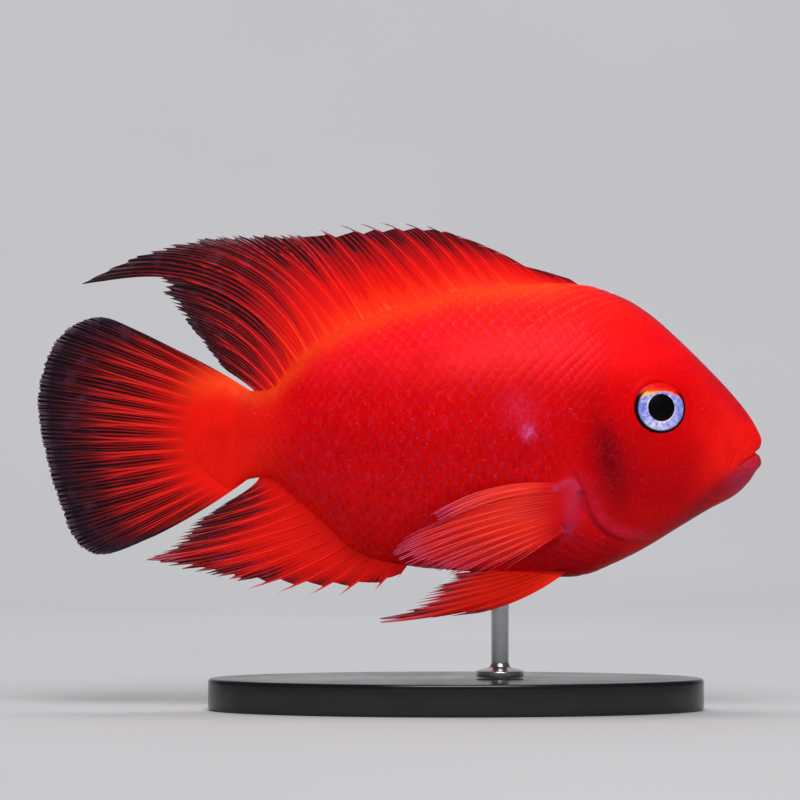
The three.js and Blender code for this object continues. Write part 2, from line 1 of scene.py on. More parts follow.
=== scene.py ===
# %% [markdown]
# A blood parrot cichlid on a display stand
#
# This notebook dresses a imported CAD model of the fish. The CAD solids hold the true sizes, and this script
# lays a finer skin, a coat of scales, finer fins, glossy eyes and a finished stand over them.
# Sizes are worked out in millimetres in the fish's own side view, with the snout towards +X, the right
# side towards -Y, and z = 0 near the body's axis. One function at the end of each mesh moves them into the
# frame, in metres.

# %% Load the frame
import math

import bpy
import numpy as np
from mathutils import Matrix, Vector


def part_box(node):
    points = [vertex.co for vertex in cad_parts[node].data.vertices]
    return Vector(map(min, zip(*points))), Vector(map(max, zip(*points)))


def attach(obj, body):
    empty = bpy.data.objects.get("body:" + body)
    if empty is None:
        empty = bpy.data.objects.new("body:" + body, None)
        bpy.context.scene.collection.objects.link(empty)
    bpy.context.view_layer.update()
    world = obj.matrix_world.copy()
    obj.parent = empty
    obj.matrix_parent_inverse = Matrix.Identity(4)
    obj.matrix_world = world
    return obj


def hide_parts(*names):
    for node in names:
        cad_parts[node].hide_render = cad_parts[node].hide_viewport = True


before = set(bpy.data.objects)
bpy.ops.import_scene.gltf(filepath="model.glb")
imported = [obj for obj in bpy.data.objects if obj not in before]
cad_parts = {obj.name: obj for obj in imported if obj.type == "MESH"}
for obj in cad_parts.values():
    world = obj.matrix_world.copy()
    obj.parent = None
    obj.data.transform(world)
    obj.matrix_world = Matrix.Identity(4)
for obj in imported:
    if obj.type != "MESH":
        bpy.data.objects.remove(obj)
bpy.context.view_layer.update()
MM = 0.001  # metres in a millimetre
FISH_ORIGIN = np.array([0.2, 0.0, 70.0])  # where the fish's own zero lies in the frame, in millimetres

# %% [markdown]
# Small helpers
#
# Colours are written as sRGB hex values, the way a paint chart gives them, and Blender's sockets want
# linear numbers, so one function turns the first into the second. A second function adds a node with its
# settings and links in one go, and a third lays one colour over another, which keeps every material short
# enough to read as a recipe. A noise's blobs come out about 0.6 times as wide as one over its scale, and the
# sizes in the comments are the blobs' own.

# %% Helpers for colours and nodes
def linear(hex_colour):
    """An sRGB hex colour as linear red, green, blue and alpha."""
    values = [int(hex_colour[i : i + 2], 16) / 255 for i in (1, 3, 5)]
    return [v / 12.92 if v <= 0.04045 else ((v + 0.055) / 1.055) ** 2.4 for v in values] + [1.0]


def add(tree, kind, inputs=None, stops=None, **settings):
    """Adds a node, its kind written without ShaderNode. An input takes a number, a hex colour, a node, a
    node with the name of its output, or the name of a mark on the points. stops are a colour ramp's places
    and hex colours."""
    node = tree.nodes.new("ShaderNode" + kind)
    for name, value in settings.items():
        setattr(node, name, value)
    for name, value in (inputs or {}).items():
        socket = node.inputs[name] if isinstance(name, int) else next(
            s for s in node.inputs if s.enabled and s.name == name)
        if isinstance(value, str) and not value.startswith("#"):
            value = (add(tree, "Attribute", attribute_name=value), "Fac")
        named = isinstance(value, tuple) and isinstance(value[0], bpy.types.Node)
        source, wanted = value if named else (value, None)
        if isinstance(source, bpy.types.Node):
            tree.links.new(next(s for s in source.outputs if s.enabled and wanted in (None, s.name)), socket)
        else:
            socket.default_value = linear(value) if isinstance(value, str) else value
    if stops:
        ramp = node.color_ramp
        ramp.interpolation = "EASE"
        ramp.elements[0].position, ramp.elements[1].position = stops[0][0], stops[-1][0]
        for place, _ in stops[1:-1]:
            ramp.elements.new(place)
        for element, (_, colour) in zip(ramp.elements, stops):
            element.color = linear(colour)
    return node


def layer(tree, under, over, *shares):
    """One colour laid over another like a glaze, as thickly as the product of the shares says."""
    amount = shares[0]
    for share in shares[1:]:
        amount = add(tree, "Math", {0: amount, 1: share}, operation="MULTIPLY")
    return add(tree, "Mix", {"Factor": amount, "A": under, "B": over}, data_type="RGBA")


def new_material(name):
    """An empty material, with its tree."""
    material = bpy.data.materials.new(name)
    material.use_nodes = True
    material.node_tree.nodes.clear()
    print("material:", name)
    return material, material.node_tree

# %% Helpers for shapes
def ease(t):
    """0 below 0, 1 above 1, and a smooth step between."""
    c = np.clip(t, 0, 1)
    return c * c * (3 - 2 * c)


def hump(distance, width):
    """1 at distance 0, falling smoothly to nothing over about twice the width."""
    return np.exp(-((distance / width) ** 2))


def along(table, t):
    """Points of a smooth curve through the rows of table, for t from 0 to 1."""
    table = np.asarray(table, float)
    last = len(table) - 1
    at = np.clip(t, 0, 1) * last
    i = np.minimum(np.floor(at).astype(int), last - 1)
    f = at - i if table.ndim == 1 else (at - i)[..., None]
    a, b, c, d = (table[np.clip(i + k, 0, last)] for k in (-1, 0, 1, 2))
    return b + 0.5 * f * (c - a + f * (2 * a - 5 * b + 4 * c - d + f * (3 * (b - c) + d - a)))


# %% [markdown]
# Meshes from arrays
#
# Every shape here is a grid or a bundle of small plates, so one function makes a mesh from an array of
# points in millimetres and arrays of faces. It also stores named numbers on the points, which the
# materials read, and a map called OFBake for baking.

# %% Mesh helpers
def make_piece(name, points, faces, material, replaced=(), marks=None, uv=None):
    """A smooth mesh object in the frame, riding on the part. faces holds arrays of three or four corners."""
    mesh = bpy.data.meshes.new(name)
    faces = [np.asarray(f, np.int32) for f in faces]
    corners = np.concatenate([f.ravel() for f in faces])
    sizes = np.concatenate([np.full(len(f), f.shape[1]) for f in faces])
    mesh.vertices.add(len(points))
    mesh.vertices.foreach_set("co", ((points + FISH_ORIGIN) * MM).astype(np.float32).ravel())
    mesh.loops.add(len(corners))
    mesh.loops.foreach_set("vertex_index", corners)
    mesh.polygons.add(len(sizes))
    mesh.polygons.foreach_set("loop_start", np.concatenate([[0], np.cumsum(sizes)[:-1]]).astype(np.int32))
    mesh.polygons.foreach_set("use_smooth", np.ones(len(sizes), bool))
    mesh.update(calc_edges=True)
    for key, values in (marks or {}).items():
        layer = mesh.attributes.new(key, "FLOAT", "POINT")
        layer.data.foreach_set("value", np.asarray(values, np.float32).ravel())
    if uv is not None:
        layer = mesh.uv_layers.new(name="OFBake")
        layer.data.foreach_set("uv", np.asarray(uv, np.float32)[corners].ravel())
    mesh.validate()
    mesh.materials.append(material)
    piece = bpy.data.objects.new(name, mesh)
    bpy.context.scene.collection.objects.link(piece)
    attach(piece, "root")
    if replaced:
        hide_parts(*replaced)
    print(f"{name}: {len(points)} points, {len(mesh.polygons)} faces")
    return piece


def grid_faces(columns, rows, start=0, closed=False):
    """Four-cornered faces between neighbouring columns of a grid that is stored column by column."""
    i, j = np.meshgrid(np.arange(columns if closed else columns - 1), np.arange(rows - 1), indexing="ij")
    beside = (i + 1) % columns
    quads = np.stack([i * rows + j, beside * rows + j, beside * rows + j + 1, i * rows + j + 1], -1)
    return start + quads.reshape(-1, 4)


def turned_faces(segments, rows):
    """Faces of a grid that closes round an axis, with a fan of triangles at each end. The fans' centres are
    two more points, stored after the grid."""
    k = np.arange(segments)
    beside = (k + 1) % segments
    centre = np.full(segments, segments * rows)
    return [
        grid_faces(segments, rows, closed=True),
        np.stack([beside * rows, k * rows, centre], -1),
        np.stack([k * rows + rows - 1, beside * rows + rows - 1, centre + 1], -1),
    ]


# %% [markdown]
# The body's surface
#
# The body is a loft through cross-sections, the same sections that the CAD solids are cut from, so the skin
# lies where they are, apart from softer ends at the lips and at the tail. A section is an ellipse whose
# middle can be swept back at the sides, as at the lips, and whose top and bottom can be drawn to a keel.
# Sculpting by hand would give the same form, but a formula can be asked for a point and a normal anywhere,
# and the scales need exactly that.

# %% Sections of the body
# Columns: top x, z, bottom x, z, half width, how far the sides are swept in x and z, back keel, belly keel
STATIONS = np.array([
    [88.7, -5.5, 88.7, -5.5, 4.9, -4.6, -2.9, 1, 1],
    [90.36, -2.9, 90.3, -8.2, 5.8, -6.0, -3.4, 1, 1],
    [89.3, 0.2, 88.9, -10.4, 6.8, -5.4, -2.6, 1, 1],
    [86.8, 4.3, 87.0, -13.2, 7.8, -4.6, -1.6, 1, 1],
    [82.4, 9.7, 83.4, -16.5, 9.6, -3.0, -0.8, 1, 1],
    [76.5, 15.9, 77.0, -19.9, 11.9, -1.5, 0, 1, 1],
    [70.0, 22.3, 70.0, -24.1, 14.0, -0.6, 0, 1.02, 1],
    [62.0, 29.3, 61.5, -29.3, 16.2, 0, 0, 1.04, 0.98],
    [54.0, 33.9, 53.5, -33.4, 18.1, 0, 0, 1.08, 0.96],
    [44.5, 36.6, 44.5, -36.6, 19.5, 0, 0, 1.14, 0.94],
    [31.0, 36.6, 31.0, -36.6, 20.2, 0, 0, 1.2, 0.94],
    [12.5, 34.4, 14.0, -35.2, 19.4, 0, 0, 1.24, 0.98],
    [0.0, 31.0, 0.5, -33.8, 17.2, 0, 0, 1.26, 1.06],
    [-12.0, 26.9, -11.0, -30.6, 13.9, 0, 0, 1.28, 1.16],
    [-20.0, 22.6, -19.0, -23.6, 11.2, 0, 0, 1.26, 1.2],
    [-27.0, 16.0, -26.0, -17.4, 8.6, 0, 0, 1.2, 1.18],
    [-31.5, 10.9, -32.0, -12.6, 6.9, 0, 0, 1.1, 1.1],
    [-37.0, 10.0, -37.5, -12.4, 5.0, 0, 0, 1, 1],
    [-41.5, 11.8, -41.5, -14.8, 2.9, -3.4, 0, 1, 1],
    [-43.6, 12.4, -43.6, -15.4, 0.05, -11.5, 0, 1, 1],
])
LAST = len(STATIONS) - 1


def body(station, angle):
    """Points of the body. angle goes from the left side over the back to the right side and the belly."""
    row = along(STATIONS, station / LAST)
    side, up = np.cos(angle), np.sin(angle)
    keel = np.where(up > 0, row[..., 7], row[..., 8])
    x = (row[..., 0] + row[..., 2]) / 2 + (row[..., 0] - row[..., 2]) / 2 * up + row[..., 5] * side**2
    z = (row[..., 1] + row[..., 3]) / 2 + (row[..., 1] - row[..., 3]) / 2 * up + row[..., 6] * side**2
    return np.stack([x, row[..., 4] * np.sign(side) * np.abs(side) ** keel, z], -1)


def body_normal(station, angle):
    """Unit normals of the body, pointing outwards."""
    step = 1e-3
    back = body(np.minimum(station + step, LAST), angle) - body(np.maximum(station - step, 0), angle)
    turn = body(station, angle + step) - body(station, angle - step)
    normal = np.cross(back, turn)
    return normal / np.maximum(np.linalg.norm(normal, axis=-1, keepdims=True), 1e-12)


def find_on_side(x, z):
    """Station and angle on the right side of the body at a place in the side view."""
    low, high = np.array([0.3, math.pi / 2]), np.array([LAST, 3 * math.pi / 2])
    for _ in range(6):
        s, a = np.meshgrid(np.linspace(low[0], high[0], 81), np.linspace(low[1], high[1], 81), indexing="ij")
        p = body(s, a)
        best = np.unravel_index(np.argmin((p[..., 0] - x) ** 2 + (p[..., 2] - z) ** 2), s.shape)
        centre, reach = np.array([s[best], a[best]]), (high - low) / 20
        low = np.maximum(centre - reach, [0, math.pi / 2])
        high = np.minimum(centre + reach, [LAST, 3 * math.pi / 2])
    return centre


# %% [markdown]
# Landmarks
#
# The nostril, the gill cover and the lines where the skin changes are placed by named points in the side
# view. The eye's place is worked out from its CAD solid's box, so the socket and the solid can't drift apart.

# %% Landmarks on the head
eye_low, eye_high = (np.array(c) / MM - FISH_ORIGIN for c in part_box("eye_right"))
EYE_RADIUS = 6.6  # of the opening, along the body
EYE_SQUASH = 0.95  # its height as a share of its length
EYE_BACK = 0.35  # the opening lies this much behind the middle of the tilted solid's box
EYE_TILT = 0.75  # how far the eye's axis follows the skin's normal, as in the CAD solid
eye_place = find_on_side((eye_low[0] + eye_high[0]) / 2 - EYE_BACK, (eye_low[2] + eye_high[2]) / 2)
EYE_POINT = body(*eye_place)
EYE_AXIS = np.array([0, -1.0, 0]) * (1 - EYE_TILT) + body_normal(*eye_place) * EYE_TILT
EYE_AXIS /= np.linalg.norm(EYE_AXIS)
NOSTRIL_POINT = body(*find_on_side(74.4, 5.6))
print("eye on the skin at", EYE_POINT.round(2), "looking along", EYE_AXIS.round(2))

# %% Lines on the head, as places in the side view
GILL_EDGE = along([
    [50.5, 9.0], [46.6, 6.2], [43.6, 2.0], [42.0, -3.2], [42.3, -8.0], [43.6, -11.6], [45.3, -15.2],
    [46.4, -18.8], [48.0, -22.3], [50.8, -25.1], [54.4, -26.9], [58.6, -27.5], [62.6, -26.8], [65.4, -25.4],
], np.linspace(0, 1, 80))
# Where the scales begin, behind the head: x of the line for heights from the belly to the back
SCALE_LINE_Z = [-37, -33, -29, -25, -20, -14, -8, 0, 9, 15, 24, 35]
SCALE_LINE_X = [63, 62, 57, 47, 42, 41, 42.5, 45.5, 52, 54, 57, 58]
# Where the red gives way to mauve under the jaw: height of the line along the head
CHIN_LINE_X = [50, 62, 70, 75, 80, 84, 91]
CHIN_LINE_Z = [-34, -24, -17.4, -13, -9.4, -7.8, -3.6]


def distance_to(line, x, z):
    """Distance in the side view from points to a line, negative on its right-hand side, and how far along
    the line (0 to 1) it is nearest."""
    best, where, hand = np.full(x.shape, 1e9), np.zeros(x.shape), np.ones(x.shape)
    for k, (a, b) in enumerate(zip(line[:-1], line[1:])):
        d = b - a
        t = np.clip(((x - a[0]) * d[0] + (z - a[1]) * d[1]) / (d @ d), 0, 1)
        away = np.hypot(x - a[0] - t * d[0], z - a[1] - t * d[1])
        nearer = away < best
        left = np.sign(d[0] * (z - a[1]) - d[1] * (x - a[0]))
        best, hand = np.where(nearer, away, best), np.where(nearer, left, hand)
        where = np.where(nearer, (k + t) / (len(line) - 1), where)
    return best * hand, where


def scaled(points):
    """1 where the skin carries scales and 0 on the bare head, with a soft change between."""
    line = np.interp(points[..., 2], SCALE_LINE_Z, SCALE_LINE_X)
    return ease((line - points[..., 0]) / 7) * ease((points[..., 0] + 44) / 9)


# %% [markdown]
# Relief of the skin
#
# A real fish's skin isn't the smooth loft: the eye sits in a raised rim, the nostril is a pit with a soft
# lip, the gill cover ends in a free edge that casts a thin shadow, and folds run back from the mouth.
# Each of these is a height in millimetres, added along the skin's normal. Sculpting brushes could do it,
# but as sums of humps and grooves each one keeps a name and a size.

# %% Relief
SCALE_BED = -0.22  # the skin under the coat lies this much lower
SOCKET_DEEP = 3.6
SOCKET_EDGE = 0.95  # how wide the socket's wall slopes
NOSTRIL_RADIUS = 0.65
LIP_FULL = 0.32  # how far the lips swell


def fine_line(*corners):
    """A smooth line in the side view, through its corners."""
    return along(corners, np.linspace(0, 1, 12))


PECTORAL_CREST = fine_line([38.2, -14.4], [40.4, -13.2], [42.4, -12.9], [43.7, -14.2], [44.1, -16])
UPPER_LIP = fine_line([88.9, -0.9], [86.8, -3.0], [84.4, -5.1], [82.8, -7.5], [82.2, -9.4], [82.6, -10.7])
FOLDS = [  # a side-view line, its height (a groove is negative) and its half-width
    (fine_line([57.5, 3], [56.4, -3], [56.8, -9], [59, -16], [63, -22]), -0.1, 1.1),  # rear rim of the cheek
    (fine_line([83.4, -16.6], [80.6, -17.4], [77, -17.3], [72, -18]), -0.2, 0.5),  # fold of the chin
    (UPPER_LIP, -0.2, 0.32),
    (fine_line([85.2, -10.6], [82.8, -10.9], [80.0, -10.5], [77.6, -11.4]), -0.12, 0.45),  # mouth's corner
    (PECTORAL_CREST, 0.6, 0.7),  # a raised rim over the fin's root
    (fine_line([44.4, -14.6], [44.8, -18], [45.2, -22]), -0.6, 0.9),  # hollow between gill cover and fin
    (fine_line([42.0, -13.0], [41.4, -18.5], [40.0, -25]), 0.75, 2.6),  # swelling that carries the fin
]
print(len(FOLDS), "folds on each side, the deepest", min(tall for _, tall, _ in FOLDS), "mm")


def relief(points, station, angle):
    """Height of the skin over the loft, in millimetres."""
    x, z = points[..., 0], points[..., 2]
    right = points.copy()
    right[..., 1] = -np.abs(points[..., 1])  # both sides are alike, so the left side is folded on the right
    flank = ease((np.abs(points[..., 1]) - 3) / 2)

    to_eye = right - EYE_POINT
    depth = to_eye @ EYE_AXIS
    radius = np.linalg.norm((to_eye - depth[..., None] * EYE_AXIS) * [1, 1, 1 / EYE_SQUASH], axis=-1)
    bearing = np.arctan2(to_eye[..., 2], to_eye[..., 0])
    near_side = ease((depth + 6) / 2)
    above = 0.5 + 0.5 * np.cos(bearing - 0.9)
    # The eye's raised rim, fullest above it, a fine groove outside the rim, and the socket
    height = (0.08 + 0.45 * above**2) * hump(radius - 7.0 - 0.7 * above, 0.7) * near_side
    height -= 0.12 * above**2 * hump(radius - 9.0, 0.5) * near_side
    height -= SOCKET_DEEP * ease((EYE_RADIUS - radius) / SOCKET_EDGE) * near_side

    # The nostril's soft lip and its pit
    nostril = np.linalg.norm(right - NOSTRIL_POINT, axis=-1)
    height += 0.14 * hump(nostril - 1.0, 0.4) - 0.45 * ease((NOSTRIL_RADIUS - nostril) / 0.5)

    # Folds, which fade out at both ends
    for line, tall, wide in FOLDS:
        away, where = distance_to(line, x, z)
        height += tall * hump(away, wide) * ease(where / 0.25) * ease((1 - where) / 0.25) * flank

    # The gill cover, swelling a little before it drops at its free edge
    ahead, where = distance_to(GILL_EDGE, x, z)
    strength = (0.04 + 0.96 * ease((-7 - z) / 7)) * ease(where / 0.16) * ease((1 - where) / 0.25) * flank
    cover = ease((ahead + 0.2) / 0.7) * ease((15 - ahead) / 13)
    height += strength * (0.75 * cover + 0.3 * hump(ahead - 1.6, 1.2) - 0.2 * hump(ahead + 0.7, 0.7))

    # The two lips
    up, side = np.sin(angle), np.abs(np.cos(angle))
    upper, lower = ease(up * 4), ease(-up * 4)
    height += (upper + lower) * LIP_FULL * hump(station - 0.5, 0.28)
    height += (upper * 0.2 * hump(station - 1.1, 0.5) + lower * 0.12 * hump(station - 1.3, 0.5)) * side
    return height * ease(station / 0.35) + SCALE_BED * scaled(points)


def skin_out(line):
    """How far out from the middle plane the skin lies, at places in the side view."""
    station, angle = np.array([find_on_side(x, z) for x, z in line]).T
    points = body(station, angle)
    return -(points + body_normal(station, angle) * relief(points, station, angle)[..., None])[:, 1]


# %% [markdown]
# Markings
#
# The red isn't even. It is orange at the roots of the fins: along the back this orange is a painted
# highlight, where light from above catches the rounded back, and along the body's lower edge over the anal
# fin the red is painted lighter, painted light against the shade where the body curves under. It darkens to a
# smudge on the gill cover, whose raised rim carries a pink painted highlight, and turns to crimson towards
# the belly, partly its own colour and partly painted shade. It turns to a mauve grey on the chin, the cheek
# and the ridge of the forehead carry painted shade and the snout painted light, and one pale lilac fleck sits
# on the shoulder, in a faint painted sheen. Each marking is a mask from 0 to 1 on the points. Skin, scales
# and the fins' roots read the same masks, so a marking runs on unbroken from one to the other, and it stays
# put from every side.

# %% Masks
def markings(points):
    """Named masks, from the points of the smooth body."""
    x, z = points[..., 0], points[..., 2]
    top = np.interp(x, STATIONS[::-1, 0], STATIONS[::-1, 1])
    bottom = np.interp(x, STATIONS[::-1, 2], STATIONS[::-1, 3])
    smudge = 0.5 * hump(np.hypot((x - 51 + 0.16 * (z + 6)) / 5.4, (z + 6) / 12), 1.0)
    smudge += 0.5 * hump(np.hypot((x - 51.8 + 0.2 * (z + 7)) / 2.8, (z + 7.2) / 9), 1.0)
    blur = np.interp(x, [68, 86], [8.5, 3.2])
    chin = ease((np.interp(x, CHIN_LINE_X, CHIN_LINE_Z) - z) / blur) * ease((x - 46) / 16)
    gill, where = distance_to(GILL_EDGE, x, z)
    # A painted highlight: a pink band along the gill cover's raised rim, where light catches the ridge
    gill = hump(gill - 1.6, 2.0) * ease((where - 0.3) / 0.3) * ease((1 - where) / 0.2)
    lilac = 0.9 * hump(np.hypot(x - 31.5, (z + 0.4) / 1.2), 1.5)
    # A faint lilac halo above and behind the fleck: a painted sheen
    lilac += 0.14 * hump(np.hypot(x - 29.5, z - 5.5), 4.0)
    axil = 0.8 * hump(np.hypot((x - 42.4) / 2.4, (z + 18.5) / 6), 1.0)
    axil += hump(distance_to(PECTORAL_CREST, x, z)[0], 0.9)
    axil += hump(np.hypot(x - 41.6, z + 24.4), 1.3)
    return {
        "height": (z + 38) / 76,
        # A painted highlight: orange along the back's upper edge, where light from above catches the rounded
        # back
        "glow": hump(np.maximum(top - z, 0), 3.6) * ease((46 - x) / 10),
        # Painted light: the body's lower edge over the anal fin is painted brighter against the shade where
        # it curves under
        "anal": hump(np.maximum(z - bottom, 0), 5.0) * ease((4 - x) / 10),
        "stalk": ease((-22 - x) / 16),
        "smudge": np.clip(smudge, 0, 1),
        "chin": chin,
        "lip": chin * ease((x - 78) / 8),
        "gill": gill,
        # Painted shade: the bare cheek painted darker, to model the head
        "cheek": hump(np.hypot((x - 60) / 16, (z + 17) / 14), 1.0) * (1 - scaled(points)),
        # Painted shade: the ridge of the forehead painted darker magenta, where the head's top turns from the
        # light
        "crest": hump(points[..., 1], 6.0) * ease((x - 42) / 16) * ease((z + 2) / 8),
        "lilac": np.clip(lilac, 0, 1),
        "breast": ease((x - 24) / 14) * ease((-20 - z) / 10) * scaled(points),
        "axil": np.clip(axil, 0, 1),
        # Painted light: the snout painted brighter, as where the front light falls on the head
        "snout": ease((x - 68) / 16),
    }


# %% [markdown]
# The skin's finish
#
# Living fish skin is thin clear mucus over pigment cells. The red is carotenoid pigment, so it is deep and
# pure, with hardly any blue or green in it, and the mucus is wet, so it shines, but softly, because it lies
# on a surface that is fine-grained like an orange's. In shader terms that is a red base with a little
# subsurface light, a low specular level and a weak, rather rough coat.

# %% The fish's red, shared by skin, scales and fins
def fish_red(tree):
    """The colour of the fish, before the detail that belongs to each surface, and where it is looked up."""
    place = (add(tree, "TexCoord"), "Object")
    speck = add(tree, "TexNoise", {  # pigment cells in clumps, about 0.5 mm across
        "Vector": place, "Scale": 1 / (0.8 * MM), "Detail": 3.0, "Roughness": 0.7})
    speck = add(tree, "MapRange", {"Value": speck, "From Min": 0.4, "From Max": 0.6, "To Min": 0.3})
    cloud = add(tree, "TexNoise", {  # cloudy changes of tone, about 5 mm across
        "Vector": place, "Scale": 1 / (9 * MM), "Detail": 4.0, "Roughness": 0.6})
    mottle = add(tree, "MapRange", {"Value": cloud, "From Min": 0.34, "From Max": 0.62, "To Min": 0.7})
    # By height, deeper crimson towards the belly and brighter red towards the back: partly the fish's own
    # colour, partly painted shade below and painted light above, as a light from above falls
    red = add(tree, "ValToRGB", {"Fac": "height"}, stops=[
        (0.0, "#D00608"), (0.2, "#D20404"), (0.42, "#C40003"), (0.61, "#D40004"), (0.78, "#F61014"),
        (1.0, "#FB2416")])
    # Among these covers, the one along the back is a painted highlight, anal and snout are painted light,
    # cheek and crest are painted shade, gill is a painted highlight on the gill cover's rim, and lilac
    # includes a faint painted sheen
    covers = [  # a mask, how strongly it covers, its colour, and what breaks it up
        ("snout", 0.75, "#FF1C14", 1.0), ("stalk", 0.65, "#EC1C0C", 1.0), ("glow", 0.75, "#FF4A18", 1.0),
        ("anal", 0.75, "#EC1408", 1.0), ("breast", 0.5, "#840A14", mottle), ("cheek", 0.8, "#980008", mottle),
        ("chin", 0.8, "#701020", mottle), ("lip", 0.6, "#A83858", speck), ("crest", 0.7, "#980C2C", mottle),
        ("gill", 0.45, "#C02C50", speck), ("axil", 0.6, "#B03860", mottle), ("lilac", 0.85, "#C868B4", speck),
        ("smudge", 0.75, "#6A0210", mottle), ("smudge", 0.65, "#38000A", speck),
    ]
    for mask, strength, colour, broken in covers:
        red = layer(tree, red, colour, mask, strength, broken)
    drift = add(tree, "MapRange", {"Value": cloud, "From Min": 0.45, "From Max": 0.75, "To Max": 0.3})
    return layer(tree, red, "#A00006", drift), place


# %% Skin material
# Living skin under wet mucus: soft, deep colour with pale pink flecks, and a broad, weak shine
WET = {  # what every surface of the fish shares: flesh or horn under water-clear mucus
    "Roughness": 0.5, "IOR": 1.4, "Specular IOR Level": 0.06, "Subsurface Radius": (1.0, 0.12, 0.06),
    "Coat IOR": 1.34,
}
SKIN, tree = new_material("fish skin, living, wet")
red, place = fish_red(tree)
fleck = add(tree, "TexNoise", {  # pale pigment flecks, about 0.4 mm
    "Vector": place, "Scale": 1 / (0.7 * MM), "Detail": 3.0})
fleck = add(tree, "MapRange", {"Value": fleck, "From Min": 0.58, "From Max": 0.8, "To Max": 0.22})
grain = add(tree, "TexNoise", {  # the fine grain of the skin, about 0.3 mm
    "Vector": place, "Scale": 1 / (0.5 * MM), "Detail": 3.0})
bump = add(tree, "Bump", {"Height": grain, "Strength": 0.3, "Distance": 0.06 * MM})
shader = add(tree, "BsdfPrincipled", WET | {
    "Base Color": layer(tree, red, "#F04458", fleck), "Normal": bump, "Subsurface Weight": 0.1,
    "Subsurface Scale": 1.5 * MM, "Coat Weight": 0.05, "Coat Roughness": 0.22})
add(tree, "OutputMaterial", {"Surface": shader})

# %% [markdown]
# The skin
#
# One closed skin stands for all the solids of flesh, so no seam shows between head, gill covers, trunk and
# tail stalk. Rings run round the body, closer together on the head, where the detail is. The first ring is
# the line between the lips, where the upper and the lower half share their points.

# %% Skin mesh
SKIN_ANGLES = 400
HEAD_STEP = 0.3  # between rings on the head
TRUNK_STEP = 0.7  # and under the scales
HEAD_END = 10.2  # the station where the coarser rings begin


def ring_stations():
    """Stations of the skin's rings, evenly spaced by their distance along the side of the body."""
    fine = np.linspace(0, LAST, 4000)
    path = np.maximum.reduce([
        np.linalg.norm(np.diff(body(fine, np.full(fine.shape, a)), axis=0), axis=1)
        for a in (math.pi, math.pi / 2, -math.pi / 2)
    ])
    step = np.where(fine[1:] < HEAD_END, HEAD_STEP, TRUNK_STEP)
    count = np.concatenate([[0], np.cumsum(path / step)])
    return np.interp(np.linspace(0, count[-1], int(count[-1]) + 1), count, fine)


rings = ring_stations()
s, a = np.meshgrid(rings, np.arange(SKIN_ANGLES) * 2 * math.pi / SKIN_ANGLES, indexing="ij")
loft = body(s, a)
skin_points = loft + body_normal(s, a) * relief(loft, s, a)[..., None]
index = np.arange(s.size).reshape(s.shape)
index[0, SKIN_ANGLES // 2 + 1 :] = index[0, 1 : SKIN_ANGLES // 2][::-1]  # the lips share the first ring
ahead, behind = index[:-1], index[1:]
quads = np.stack([ahead, np.roll(ahead, -1, 1), np.roll(behind, -1, 1), behind], -1).reshape(-1, 4)
cap = np.stack([index[-1], np.roll(index[-1], -1), np.full(SKIN_ANGLES, s.size)], -1)
tail_end = skin_points[-1].mean(0)
uv = np.vstack([np.stack([s / LAST, a / (2 * math.pi)], -1).reshape(-1, 2), [[1, 0.5]]])
make_piece(
    "skin", np.vstack([skin_points.reshape(-1, 3), tail_end]), [quads, cap], SKIN,
    ["head", "trunk", "tail_stalk", "gill_cover_left", "gill_cover_right"],
    markings(np.vstack([loft.reshape(-1, 3), tail_end])), uv,
)

# %% [markdown]
# The scales
#
# The flank carries rounded scales that overlap like roof tiles, about 3 mm apart along the body and 2.4 mm
# apart from row to row, every second row shifted by half a scale. They shrink towards the nape, the belly
# and the tail. A bump texture would be cheaper, but it leaves the outline smooth and the light wrong at a
# grazing angle, so each scale is a small dished plate whose rear edge stands off the skin.

# %% A map of the flank, in rows and columns of scales
SCALE_X = [-47, -40, -33, -25, -15, -5, 5, 20, 30, 40, 50, 62]
SCALE_LENGTH = [1.5, 1.7, 2.0, 2.3, 2.5, 2.8, 3.0, 3.05, 2.9, 2.4, 1.9, 1.4]
ROW_SHARE = 0.72  # distance between rows, as a share of the distance along a row
ARC_LIMIT = 66.0  # more than the way along the skin from the flank's middle to the back or the belly
FIRST_SCALED = 6.0  # the station before which there are no scales

flank_s = np.linspace(FIRST_SCALED, LAST, 1400)
flank_arc = np.linspace(-ARC_LIMIT, ARC_LIMIT, 529)
fine_angle = np.linspace(math.pi / 2, 3 * math.pi / 2, 721)
flank_line = body(flank_s, np.full(flank_s.shape, math.pi))
flank_path = np.concatenate([[0], np.cumsum(np.linalg.norm(np.diff(flank_line, axis=0), axis=1))])
column_of = np.cumsum(np.gradient(flank_path) / np.interp(flank_line[:, 0], SCALE_X, SCALE_LENGTH))
station_per_mm = np.gradient(flank_s, flank_path)
angle_of = np.empty((len(flank_s), len(flank_arc)))
top_arc, low_arc = np.empty(len(flank_s)), np.empty(len(flank_s))
for k, station in enumerate(flank_s):
    ring = body(np.full(fine_angle.shape, station), fine_angle)
    length = np.concatenate([[0], np.cumsum(np.linalg.norm(np.diff(ring, axis=0), axis=1))])
    arc = length[len(length) // 2] - length  # 0 on the flank's middle, more towards the back
    top_arc[k], low_arc[k] = arc[0], arc[-1]
    angle_of[k] = np.interp(flank_arc, arc[::-1], fine_angle[::-1])
print(f"the flank is {top_arc.max() - low_arc.min():.0f} mm high, measured along the skin")


